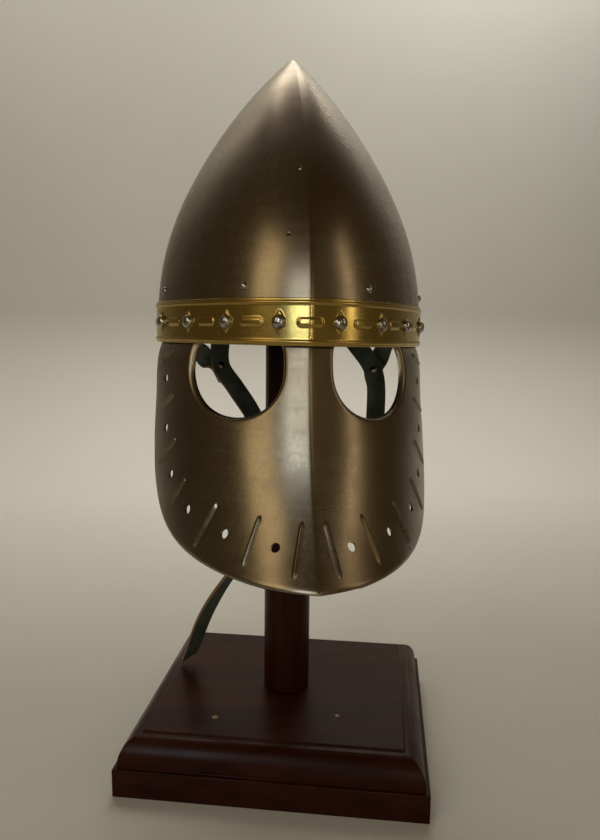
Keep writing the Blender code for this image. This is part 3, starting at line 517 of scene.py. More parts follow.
def add_piece(name, shape, matrix, nodes, slot, sharp, values=None):
    """A shape of points and quads put in place, welded, facing outwards, on the part."""
    points, quads = placed(shape[0], matrix), shape[1]
    mesh = bpy.data.meshes.new(name)
    mesh.vertices.add(len(points))
    mesh.vertices.foreach_set("co", np.ascontiguousarray(points, dtype=np.float32).ravel())
    mesh.loops.add(quads.size)
    mesh.loops.foreach_set("vertex_index", np.ascontiguousarray(quads, dtype=np.int32).ravel())
    mesh.polygons.add(len(quads))
    mesh.polygons.foreach_set("loop_start", np.arange(len(quads), dtype=np.int32) * 4)
    for label, numbers in (values or {}).items():
        layer = mesh.attributes.new(label, "FLOAT", "POINT")
        layer.data.foreach_set("value", np.ascontiguousarray(numbers, dtype=np.float32))
    mesh.update(calc_edges=True)
    work = bmesh.new()
    work.from_mesh(mesh)
    bmesh.ops.remove_doubles(work, verts=work.verts, dist=2e-6)
    bmesh.ops.dissolve_degenerate(work, edges=work.edges, dist=1e-7)
    bmesh.ops.recalc_face_normals(work, faces=work.faces)
    work.to_mesh(mesh)
    work.free()
    mesh.shade_smooth()
    mesh.set_sharp_from_angle(angle=math.radians(sharp))
    piece = bpy.data.objects.new(name, mesh)
    bpy.context.scene.collection.objects.link(piece)
    mesh.materials.append(bpy.data.materials[slot + "_finish"])
    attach(piece, "root")
    if nodes:
        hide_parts(*nodes)
    return piece


def applied(piece):
    """Applies a piece's modifiers to its mesh."""
    ready = piece.evaluated_get(bpy.context.evaluated_depsgraph_get())
    mesh = bpy.data.meshes.new_from_object(ready)
    piece.modifiers.clear()
    piece.data = mesh


# Skull and band ----------------------------------------------------------------------


def angles_dense_at_keel(count):
    """Angles t = pi (b u + (1 - b) u |u|), so that columns crowd together at the keel."""
    even = np.linspace(-1.0, 1.0, count, endpoint=False)
    return math.pi * (0.15 * even + 0.85 * even * np.abs(even))


def skull_surface(softness):
    """Rows of the skull from the inner pole down, round the lower edge and up to the point.

    Inner rows are the outer ones moved inwards by the wall along their normals.
    """
    angles = angles_dense_at_keel(360)[None, :]
    top = BAND_HEIGHT / 2
    span = SKULL_HEIGHT - top
    below = np.linspace(-SKULL_LAP, top, 7)[:-1]
    above = top + span * np.linspace(0.0, 1.0, 110)
    heights = np.concatenate([below, above])[:, None]
    outer = skull_point(angles, heights, softness)
    outer[-1] = (0.0, POINT_SET_BACK, SKULL_HEIGHT - POINT_BLUNTNESS * span)
    above = top + span * np.linspace(0.0, 0.965, 34)
    heights = np.concatenate([below, above])[::-1, None]
    wide = 3 * softness
    normal = outward(skull_point, angles, heights, wide)
    inner = skull_point(angles, heights, wide) - SKULL_WALL * normal
    pole = np.zeros_like(inner[:1]) + (0.0, POINT_SET_BACK, SKULL_HEIGHT - 2.2 * SKULL_WALL)
    rows = np.concatenate([pole, inner, outer])
    return rows.reshape(-1, 3), grid_quads(len(rows), angles.size)


def boss_relief(run, height, sizes):
    """Rise of the band's relief at a length along it and a height.

    Bars are capsules: the distance to a short level line. Ovals are the overlap of two
    discs. Both, and the beads along the edges, rise as half a cosine wave.
    """
    table = band_length_table()[1]
    pitch = table[-1] / BAND_RIVETS
    to_bar = (run + pitch / 2) % pitch - pitch / 2
    reach = np.hypot(np.maximum(np.abs(to_bar) - BAR_HALF_LENGTH, 0.0), height)
    bar = swell((BAR_REACH - reach) / BAR_SHOULDER)
    to_rivet = np.abs(run % pitch - pitch / 2)
    radius = (OVAL_HALF_WIDTH**2 + OVAL_HALF_HEIGHT**2) / (2 * OVAL_HALF_WIDTH)
    inside = radius - np.hypot(to_rivet + radius - OVAL_HALF_WIDTH, height)
    oval = swell(inside / OVAL_SHOULDER)
    edge = BAND_HEIGHT / 2 - sizes.bead_inset
    bead = np.clip(1 - np.abs(np.abs(height) - edge) / BEAD_HALF_WIDTH, 0.0, 1.0)
    rise = np.maximum(bar, oval) * sizes.boss_rise
    return rise + sizes.bead_rise * np.sin(bead * math.pi / 2) ** 2, np.maximum(bar, oval)


def band_surface(sizes):
    """Rows of the brow band: its outer face with its relief, then its plain inner face.

    The plan is moved outwards by the relief, and the thin edges are rounded over.
    """
    count = 1280
    fine, table = band_length_table()
    run = np.linspace(0.0, table[-1], count, endpoint=False)
    angles = np.interp(run, table, fine)[None, :]
    half = BAND_HEIGHT / 2
    heights = half * np.sin(np.linspace(1.0, -1.0, 53) * math.pi / 2)[:, None]
    heights = 0.35 * heights + 0.65 * np.linspace(half, -half, 53)[:, None]
    relief, boss = boss_relief(run[None, :] - table[-1] / 2, heights, sizes)
    edge = np.clip((half - np.abs(heights)) / BAND_EDGE_WIDTH, 0.0, 1.0)
    relief = relief - BAND_EDGE_DROP * (1 - np.sqrt(1 - (1 - edge) ** 2))
    x, y = band_plan(angles, -relief, sizes.keel_softness)
    outer = np.stack([x, y, np.broadcast_to(heights, x.shape)], axis=-1)
    x, y = band_plan(angles, BAND_WALL, 3 * sizes.keel_softness)
    low, high = np.full_like(x, -half), np.full_like(x, half)
    inner = np.stack([np.stack([x, y, low], axis=-1), np.stack([x, y, high], axis=-1)])
    rows = np.concatenate([outer, inner.reshape(2, -1, 3), outer[:1]])
    slope = np.abs(np.gradient(relief, axis=0)) + np.abs(np.gradient(relief, axis=1))
    recess = np.clip(slope / 0.00025, 0.0, 1.0) * (1 - 0.6 * boss)
    recess = np.concatenate([recess, np.zeros((2, count)), recess[:1]])
    return rows.reshape(-1, 3), grid_quads(len(rows), count), {"recess": recess.ravel()}


# Guard plate -------------------------------------------------------------------------


def rim_line(count):
    """Even steps along the rim, a superellipse: t = T sin^(2/a) u, drop = D cos^(2/b) u."""
    turn = np.linspace(0.0, math.pi / 2, 4001)
    angle = PLATE_HALF_ANGLE * np.sin(turn) ** (2 / RIM_CORNER_ACROSS)
    drop = PLATE_DROP * np.cos(turn) ** (2 / RIM_CORNER_DOWN)
    steps = np.hypot(np.diff(angle) * UNROLLED_RADIUS, np.diff(drop))
    run = np.concatenate([[0.0], np.cumsum(steps)])
    even = np.linspace(0.0, run[-1], count + 1)
    return np.interp(even, run, angle), np.interp(even, run, drop)


def plate_outline(keel_count=70, rim_count=520, side_count=6, top_count=40):
    """Angle and drop round half the plate: down the keel, along the rim, up and back.

    The third column is one on the free rim and nought elsewhere.
    """
    keel = np.linspace(-PLATE_LAP, PLATE_DROP, keel_count + 1)[:-1]
    rim_angle, rim_drop = rim_line(rim_count)
    side = -PLATE_LAP * np.arange(1, side_count) / side_count
    top = PLATE_HALF_ANGLE * (1 - np.arange(top_count) / top_count)
    angle = [np.zeros(keel_count), rim_angle, np.full(side_count - 1, PLATE_HALF_ANGLE), top]
    drop = [keel, rim_drop, side, np.full(top_count, -PLATE_LAP)]
    free = [np.zeros(keel_count), np.ones(rim_count + 1), np.ones(side_count - 1)]
    free.append(np.zeros(top_count))
    return np.stack([np.concatenate(angle), np.concatenate(drop), np.concatenate(free)])


def eye_reach(turn):
    """The eye opening's edge in polar form, a superellipse squarer above than below."""
    across = np.abs(np.cos(turn)) / EYE_HALF_WIDTH
    down = np.sin(turn)
    low = across**EYE_LOWER_SQUARENESS + (np.abs(down) / EYE_DOWN) ** EYE_LOWER_SQUARENESS
    high = across**EYE_UPPER_SQUARENESS + (np.abs(down) / EYE_UP) ** EYE_UPPER_SQUARENESS
    low = low ** (-1 / EYE_LOWER_SQUARENESS)
    high = high ** (-1 / EYE_UPPER_SQUARENESS)
    return np.where(down > 0, low, high)


def ray_ridges(sizes):
    """The rays: a roof with a rounded crest carried along each, closed below the plate.

    At share q of the half width the roof's height is R (1 - sqrt(q^2 + RAY_ROUNDNESS)), scaled to
    reach from nought to R. Width and height die away over each end as a quarter circle.
    """
    pieces = []
    roof = np.linspace(-1.0, 1.0, 21)
    low, high = math.sqrt(RAY_ROUNDNESS), math.sqrt(1 + RAY_ROUNDNESS)
    height = (high - np.hypot(roof, low)) / (high - low)
    across = np.concatenate([roof, [0.6, -0.6]])
    share = np.linspace(0.0, 1.0, 61)
    for side in (-1.0, 1.0):
        for outer_angle, outer_drop, inner_angle, inner_drop in RAYS:
            angle = side * np.radians(outer_angle + (inner_angle - outer_angle) * share)
            drop = PLATE_DROP * (outer_drop + (inner_drop - outer_drop) * share)
            place = plate_point(angle, drop)
            normal = outward(plate_point, angle, drop)
            along = np.gradient(place, axis=0)
            width_way = np.cross(normal, along)
            width_way /= np.linalg.norm(width_way, axis=1, keepdims=True)
            length = np.linalg.norm(place[-1] - place[0])
            near_end = np.minimum(share, 1 - share) * length / RAY_TAPER
            ends = np.sqrt(np.clip(1 - (1 - np.clip(near_end, 0.0, 1.0)) ** 2, 0.0, 1.0))
            width = sizes.ray_half_width * ends[:, None] * across[None, :]
            rise = sizes.ray_rise * ends[:, None] * height[None, :] - RAY_SINK
            under = np.full((len(share), 2), -RAY_FOOT)
            rise = np.concatenate([rise, under * ends[:, None] - RAY_SINK], axis=1)
            points = place[:, None] + width_way[:, None] * width[..., None]
            points = points + normal[:, None] * rise[..., None]
            points[[0, -1]] = (place - normal * 0.0003)[[0, -1], None]
            pieces.append((points.reshape(-1, 3), grid_quads(len(share), len(across))))
    return joined(pieces)


def rim_relief(points, rim, sizes):
    """Depth of the rim, turned inwards along a quarter ellipse over its last stretch."""
    flat = points.reshape(-1, 3)
    gap = np.full(len(flat), np.inf)
    for part in np.array_split(np.arange(len(flat)), 40):
        apart = np.linalg.norm(flat[part][:, None] - rim[None], axis=-1)
        gap[part] = apart.min(axis=1)
    share = np.clip(1 - gap.reshape(points.shape[:-1]) / sizes.rim_round, 0.0, 1.0)
    return sizes.rim_turn * (1 - np.sqrt(1 - share**2))


def half_plate(sizes):
    """Half of the guard plate as a grid of polar rows round the eye opening.

    The rows run from the lip's free edge outwards to the plate's outline, over its edge
    and back along the inner face. A point is the outer face's point less the normal times
    the depth, where the depth adds the lip's quarter ellipse, the turned rim and the wall.
    """
    angle, drop, free = plate_outline()
    across = angle * UNROLLED_RADIUS - EYE_MIDDLE
    down = drop - EYE_LEVEL
    turn = np.arctan2(down, across)
    reach = np.hypot(across, down)
    eye = eye_reach(turn)
    start = eye + LIP_WIDTH
    length = reach - start

    def row(out, depth):
        """Angle, drop and depth of one row at a distance from the eye's middle."""
        where = (EYE_MIDDLE + out * np.cos(turn)) / UNROLLED_RADIUS
        return where, EYE_LEVEL + out * np.sin(turn), np.broadcast_to(depth, out.shape)

    curls = np.radians(np.linspace(0.0, 90.0, 9))
    lip = [
        row(eye + LIP_WIDTH * (1 - math.cos(c)), LIP_DEPTH * (1 - math.sin(c))) for c in curls
    ]
    near = np.array([0.0, 0.12, 0.30, 0.60, 1.00, 1.60, 2.30, 3.20]) * 1e-3
    rest = np.linspace(0.0, 1.0, 31)[1:-1]
    back = list(near)
    back += [near[-1] + (length - near[-1]) * (0.6 * u + 0.4 * u * u) for u in rest]
    field = [row(reach - step, 0.0) for step in back][::-1]
    outer = [np.stack(part) for part in zip(*(lip + field))]
    picks = [-1, -8] + list(range(-12, -len(field), -4))
    inner = [field[k] for k in picks]
    thin = (LIP_WIDTH - PLATE_WALL, LIP_DEPTH - PLATE_WALL)
    inside_lip = [
        row(start - thin[0] * math.cos(c), LIP_DEPTH - thin[1] * math.sin(c) - PLATE_WALL)
        for c in curls[::-2]
    ]
    inner = [np.stack(part) for part in zip(*(inner + inside_lip))]

    soft = sizes.keel_softness
    base = plate_point(outer[0], outer[1], soft)
    normal = outward(plate_point, outer[0], outer[1], soft)
    rim = base[-1][free > 0]
    depth = outer[2] + rim_relief(base, rim, sizes)
    outer_rows = base - normal * depth[..., None]

    base = plate_point(inner[0], inner[1], 3 * soft)
    normal = outward(plate_point, inner[0], inner[1], 3 * soft)
    depth = inner[2] + rim_relief(base, rim, sizes)
    inner_rows = base - normal * (depth + PLATE_WALL)[..., None]

    edge = []
    bulge = outer_rows[-1] - outer_rows[-2]
    bulge /= np.linalg.norm(bulge, axis=-1, keepdims=True)
    for share in (0.15, 0.5, 0.85):
        swollen = EDGE_BULGE * math.sqrt(1 - (2 * share - 1) ** 2) * free[:, None]
        swollen[np.abs(outer_rows[-1][:, 0]) < 1e-7] = 0.0
        edge.append(outer_rows[-1] * (1 - share) + inner_rows[0] * share + bulge * swollen)
    rows = np.concatenate([outer_rows, np.stack(edge), inner_rows, outer_rows[:1]])
    return rows


def plate_surface(sizes):
    """Both halves of the guard plate, the second mirrored, without the seam's walls."""
    rows = half_plate(sizes)
    quads = grid_quads(len(rows), rows.shape[1])
    points = rows.reshape(-1, 3)
    seam = np.all(np.abs(points[quads][:, :, 0]) < 1e-7, axis=1)
    quads = quads[~seam]
    mirrored = points * np.array([-1.0, 1.0, 1.0])
    return joined([(points, quads), (mirrored, quads[:, ::-1])])


def lace_hole_rods():
    """Rods through the guard plate where the lace holes go."""
    rods = []
    profile = [(0, 0.006), (LACE_HOLE_RADIUS, 0.006), (LACE_HOLE_RADIUS, -0.006), (0, -0.006)]
    for side in (-1, 1):
        for degrees, share in LACE_HOLES:
            angle = np.array([side * math.radians(degrees)])
            drop = np.array([share * PLATE_DROP])
            seat = plate_point(angle, drop)[0]
            axis = outward(plate_point, angle, drop)[0]
            points, quads = lathe(profile, 40)
            rods.append((aimed(points, seat, axis), quads))
    return joined(rods)


# Rivets ------------------------------------------------------------------------------


def rivet_profile(radius, rise, grip, tail=BAND_RIVET_TAIL):
    """A half-ellipse dome, a skirt that sinks into the piece below, a shank and a peened end.

    The dome is r = R cos u, z = H sin u. The peened end is a flatter one on the far side.
    """
    u = np.linspace(90, 0, 9)
    dome = [(radius * math.cos(a), rise * math.sin(a)) for a in np.radians(u)]
    skirt = [(radius * 1.0, -0.0004), (radius * 0.97, -0.0011), (SHANK_RADIUS, -0.0011)]
    neck = [(SHANK_RADIUS, -grip), (tail, -grip)]
    u = np.linspace(15, 90, 6)
    peened = [(tail * math.cos(a), -grip - 0.0010 * math.sin(a)) for a in np.radians(u)]
    return dome + skirt + neck + peened


def band_rivet_seats():
    """Seats on the band, evenly spaced along it, each with its outward axis."""
    shares = (np.arange(BAND_RIVETS) + 0.5) / BAND_RIVETS - 0.5
    angle = angles_round_band(shares)
    x, y = band_plan(angle, 0.0)
    ahead_x, ahead_y = band_plan(angle + 1e-4, 0.0)
    axis = np.stack([ahead_y - y, x - ahead_x, np.zeros_like(x)], axis=-1)
    axis /= np.linalg.norm(axis, axis=-1, keepdims=True)
    return np.stack([x, y, np.zeros_like(x)], axis=-1), axis


def facet_angles(share):
    """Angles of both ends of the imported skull's facet at a share of the band's length."""
    facet = math.floor(share * FACETS_AROUND)
    return angles_round_band(np.array([facet, facet + 1]) / FACETS_AROUND)


def skull_rivet_seat(share):
    """Seat on the skull's outer face above the band, and its outward axis."""
    ends = facet_angles(share)
    angle = np.array([np.mean(ends)])
    level = np.array([SKULL_RIVET_LEVEL])
    seat = skull_point(angle, level)[0]
    return seat, outward(skull_point, angle, level)[0]


# Straps ------------------------------------------------------------------------------


def strap_clearance():
    """Room between the skull's curved inner face and a flat strap on it."""
    return GAP + 2 * FACET_ROOM


def wall_station(share, height, inset):
    """A strap station on the skull's inner face, with the turn of its width."""
    ends = facet_angles(share)
    level = np.full(2, height)
    seat = np.mean(skull_point(ends, level), axis=0)
    normal = np.mean(outward(skull_point, ends, level), axis=0)
    normal /= np.linalg.norm(normal)
    place = seat - normal * (SKULL_WALL + inset + STRAP_WALL / 2)
    turn = math.degrees(math.atan2(normal[0], -normal[1]))
    turn -= 180 if turn > 90 else 0
    turn += 180 if turn < -90 else 0
    return (*place, turn)


def route_station(row):
    """A row of a route in metres."""
    across, back, up, turn = row
    return (across * HALF_WIDTH, back * BACK_DEPTH, up * PLATE_DROP, turn)


def leg_start(name):
    """The stations that hold a leg's end on the skull, then lead it past the plate."""
    share = SKULL_RIVETS[name]
    near = strap_clearance()
    past = near
    if "side" in name:
        past += PLATE_WALL + 2 * FACET_ROOM + 2 * GAP
    above = wall_station(share, SKULL_RIVET_LEVEL + STRAP_END, near + 2 * GAP)
    at = wall_station(share, SKULL_RIVET_LEVEL, near)
    below = wall_station(share, PLATE_LAP + 2 * STRAP_WALL, past)
    return [above, at, below]


def resampled(stations, count):
    """Stations at even steps along a smooth curve through the given ones."""
    rows = np.array(stations)
    lengths = np.linalg.norm(np.diff(rows[:, :3], axis=0), axis=1)
    run = np.concatenate([[0.0], np.cumsum(lengths)])
    even = np.linspace(0.0, run[-1], count)
    return np.stack([smooth(even, run, rows[:, k]) for k in range(4)], axis=1)


def ribbon_frames(rows):
    """Places, directions, width axes and face normals along a strap."""
    places = rows[:, :3]
    along = np.gradient(places, axis=0)
    along /= np.linalg.norm(along, axis=1, keepdims=True)
    turn = np.radians(rows[:, 3])
    across = np.stack([np.cos(turn), np.sin(turn), np.zeros_like(turn)], axis=1)
    across -= along * np.sum(along * across, axis=1, keepdims=True)
    across /= np.linalg.norm(across, axis=1, keepdims=True)
    return places, along, across, np.cross(along, across)


def tip_station():
    """The free end's tip, just above the edge of the stand's flat top."""
    half = (BASE_WIDTH / 2 - MOULDING_WIDTH, BASE_DEPTH / 2 - MOULDING_WIDTH)
    on_base = Vector((TIP_ON_BASE[0] * half[0], TIP_ON_BASE[1] * half[1], 0.0))
    on_base = stand_matrix() @ on_base
    on_base.z = BASE_HEIGHT + TIP_SLANT + TIP_CLEARANCE
    return (*(helmet_matrix().inverted() @ on_base), TIP_TURN)


def ring_seat():
    """The ring's place in the helmet."""
    return np.array(route_station((*RING_PLACE, 0.0))[:3])


def ring_axes():
    """The ring's axes: along its level bars, up to the short strap, and through it."""
    long_end = np.array(route_station(LONG_STRAP_ROUTE[-1])[:3])
    through = long_end - ring_seat()
    through /= np.linalg.norm(through)
    bar = np.array([-through[1], through[0], 0.0])
    bar /= np.linalg.norm(bar)
    return bar, np.cross(through, bar), through


def fold_radius():
    """The radius of the strap's middle where it folds round the ring's bar."""
    return RING_BAR / 2 * math.sqrt(2) + 2 * GAP + STRAP_WALL / 2


def fold_stations():
    """The short strap's end: down to the ring's top bar, round it and back up."""
    bar, up, through = ring_axes()
    turn = math.degrees(math.atan2(bar[1], bar[0]))
    centre = ring_seat() + up * (RING_ROOM_HIGH + RING_BAR) / 2
    radius = fold_radius()
    close = STRAP_WALL / 2 + GAP
    path = [(-close, 6.0), (-close, 4.6), (-close, 3.0), (-0.8 * radius, 1.2)]
    spots = [(aside, lift * radius) for aside, lift in path]
    for degrees in (180, 225, 270, 315, 360):
        angle = math.radians(degrees)
        spots.append((radius * math.cos(angle), radius * math.sin(angle)))
    spots += [(-aside, lift * radius) for aside, lift in reversed(path[1:])]
    return [(*(centre + through * aside + up * lift), turn) for aside, lift in spots]


def matched_turns(stations):
    """Turns of the stations, without jumps of half a turn between them."""
    rows = [list(station) for station in stations]
    for before, row in zip(rows, rows[1:]):
        row[3] -= 180 * round((row[3] - before[3]) / 180)
    return rows


def short_strap_stations():
    """The wearer's right strap, from the back of the skull down to the ring."""
    rows = leg_start("back_right")
    rows += [route_station(row) for row in SHORT_STRAP_ROUTE]
    return matched_turns(rows + fold_stations()[:1])


def long_strap_stations():
    """The wearer's left strap, through the ring and down to the free end's tip."""
    bar, up, through = ring_axes()
    turn = math.degrees(math.atan2(bar[1], bar[0]))
    low = ring_seat() - up * (RING_ROOM_HIGH - STRAP_WALL) / 2 + up * 2 * GAP
    rows = leg_start("back_left")
    rows += [route_station(row) for row in LONG_STRAP_ROUTE]
    rows.append((*(low + through * STRAP_WIDTH * 0.6), turn))
    rows.append((*(low - through * STRAP_WIDTH * 0.6), turn))
    rows += [route_station(row) for row in FREE_END_ROUTE]
    rows.append(tip_station())
    return matched_turns(rows)


def joint_place(stations):
    """The strap's joint: its place, front normal and the stretch of strap after it."""
    fine = resampled(stations, 600)
    places, along, across, normal = ribbon_frames(fine)
    joint = np.array(stations[JOINT_ROW][:3])
    at = int(np.argmin(np.linalg.norm(places - joint, axis=1)))
    normal = normal * -np.sign(normal[at, 1])
    step = np.linalg.norm(places[at + 1] - places[at])
    after = at + int(STRAP_WIDTH * 0.8 / step)
    return places[[at, after]], normal[[at, after]], fine[[at, after], 3]


def leg_stations(stations, side_rivet, side_route):
    """A side leg: from its rivet down to the joint, then flat behind the long leg."""
    places, normals, turns = joint_place(stations)
    ends = places - normals * (STRAP_WALL + 2 * GAP + FACET_ROOM)
    rows = leg_start(side_rivet) + [route_station(row) for row in side_route]
    away = np.array(rows[-1][:3]) - ends[0]
    away -= normals[0] * np.dot(away, normals[0])
    away *= STRAP_WIDTH * 0.7 / np.linalg.norm(away)
    rows.append((*(ends[0] + away - normals[0] * 1.5 * STRAP_WALL), turns[0]))
    rows.append((*ends[0], turns[0]))
    rows.append((*ends[1], turns[1]))
    return matched_turns(rows)


def strap_section(corner):
    """A rectangle with rounded corners, and how much each of its points is a cut edge."""
    turn = np.radians([0, 30, 60, 90])
    half = (STRAP_WIDTH / 2 - corner, STRAP_WALL / 2 - corner)
    spots = []
    for quarter, (side, face) in enumerate(((1, 1), (-1, 1), (-1, -1), (1, -1))):
        around = turn + quarter * math.pi / 2
        spots.append(
            np.stack(
                [
                    side * half[0] + corner * np.cos(around),
                    face * half[1] + corner * np.sin(around),
                ],
                axis=1,
            )
        )
    section = np.concatenate(spots)
    middles = [(0.0, STRAP_WALL / 2), (0.0, -STRAP_WALL / 2)]
    section = np.insert(section, (4, 12), middles, axis=0)
    cut = swell((np.abs(section[:, 0]) - STRAP_WIDTH / 2 + 0.8 * corner) / (0.6 * corner))
    return section, cut


def strap_surface(rows, corner, slant=0.0):
    """The rounded section carried along the stations, with the ends closed and rounded.

    The slant leans the last stretch's cut end over, so that one corner is longer.
    """
    places, along, across, normal = ribbon_frames(rows)
    section, cut = strap_section(corner)
    count = len(rows)
    shares = np.concatenate([[0.0, 0.5, 0.85], np.ones(count - 2), [0.85, 0.5, 0.0]])
    steps = np.concatenate([[0, 0, 0], np.arange(1, count - 1), [count - 1] * 3])
    push = np.concatenate([[0.0, 0.0, corner / 2], np.zeros(count - 2), [-corner / 2, 0.0, 0.0]])
    lean = np.zeros(len(steps))
    lean[-3:] = slant
    wide = section[None, :, 0] * shares[:, None]
    thick = section[None, :, 1] * shares[:, None]
    points = places[steps][:, None] + across[steps][:, None] * wide[..., None]
    points = points + normal[steps][:, None] * thick[..., None]
    ahead = push[:, None] + lean[:, None] * wide / (STRAP_WIDTH / 2)
    points = points + along[steps][:, None] * ahead[..., None]
    edge = np.broadcast_to(cut, points.shape[:2]).copy()
    edge[:2] = 1.0
    edge[-2:] = 1.0
    run = np.cumsum(np.concatenate([[0.0], np.linalg.norm(np.diff(places, axis=0), axis=1)]))
    length = np.broadcast_to(run[steps][:, None], edge.shape)
    width = np.broadcast_to(section[None, :, 0], edge.shape)
    values = {"edge": edge.ravel(), "length": length.ravel(), "width": width.ravel()}
    return points.reshape(-1, 3), grid_quads(len(steps), len(section)), values


# Stand -------------------------------------------------------------------------------


def base_profile():
    """Inset and height: plinth, ledge, a quarter-round moulding and a small arris."""
    turn = np.linspace(0.0, math.pi / 2, 15)
    start = (LEDGE_WIDTH, PLINTH_HEIGHT + LEDGE_RISE)
    end = (MOULDING_WIDTH - ARRIS, BASE_HEIGHT - ARRIS)
    moulding_in = end[0] - (end[0] - start[0]) * np.cos(turn)
    moulding_up = start[1] + (end[1] - start[1]) * np.sin(turn)
    rows = [(0.0, 0.0), (0.0, PLINTH_HEIGHT), (LEDGE_WIDTH, PLINTH_HEIGHT)]
    rows += list(zip(moulding_in, moulding_up))
    rows += [(end[0], BASE_HEIGHT), (MOULDING_WIDTH, BASE_HEIGHT)]
    return np.array(rows)


def base_surface():
    """The base's profile carried round its four mitred sides, closed above and below."""
    rows = base_profile()
    corners = np.array([(-1, -1), (1, -1), (1, 1), (-1, 1)])
    half = np.array([BASE_WIDTH / 2, BASE_DEPTH / 2])
    across = (half - rows[:, :1, None] * np.ones(2))[:, 0][:, None, :] * corners[None]
    level = np.broadcast_to(rows[:, 1][:, None, None], (*across.shape[:2], 1))
    points = np.concatenate([across, level], axis=-1).reshape(-1, 3)
    quads = grid_quads(len(rows), 4)
    last = len(points) - 4
    caps = np.array([[3, 2, 1, 0], [last, last + 1, last + 2, last + 3]])
    return points, np.concatenate([quads, caps])


def post_profile():
    """Radius and height: a plain turned post with a round top."""
    turn = np.linspace(0, math.pi / 2, 17)
    foot = [(0.0, BASE_HEIGHT + GAP), (POST_RADIUS - POST_ARRIS, BASE_HEIGHT + GAP)]
    foot.append((POST_RADIUS, BASE_HEIGHT + GAP + POST_ARRIS))
    rows = foot + [(POST_RADIUS, height) for height in np.linspace(0.08, 0.48, 6)]
    ball = [
        (POST_RADIUS * math.cos(a), BALL_LEVEL + POST_RADIUS * math.sin(a)) for a in turn
    ]
    return rows + ball


def ring_surface():
    """A round wire along a rectangle with rounded corners."""
    bar, up, through = ring_axes()
    radius = RING_BAR / 2
    half = np.array([RING_ROOM_ACROSS / 2 + radius - RING_BEND, RING_ROOM_HIGH / 2 + radius - RING_BEND])
    turn = np.linspace(0, math.pi / 2, 9)
    path = []
    for quarter, (side, level) in enumerate(((1, 1), (-1, 1), (-1, -1), (1, -1))):
        angle = turn + quarter * math.pi / 2
        place = np.stack([side * half[0] + RING_BEND * np.cos(angle), np.zeros_like(angle)], axis=1)
        place[:, 1] = level * half[1] + RING_BEND * np.sin(angle)
        path.append(np.concatenate([place, np.stack([np.cos(angle), np.sin(angle)], 1)], 1))
    path = np.concatenate(path + [path[0][:1]])
    around = np.linspace(0, 2 * math.pi, 20, endpoint=False)
    centre = ring_seat() + path[:, :1] * bar + path[:, 1:2] * up
    out = path[:, 2:3] * bar + path[:, 3:4] * up
    points = centre[:, None] + radius * np.cos(around)[None, :, None] * out[:, None]
    points = points + radius * np.sin(around)[None, :, None] * through
    return points.reshape(-1, 3), grid_quads(len(path), 20)


# Finishes ----------------------------------------------------------------------------


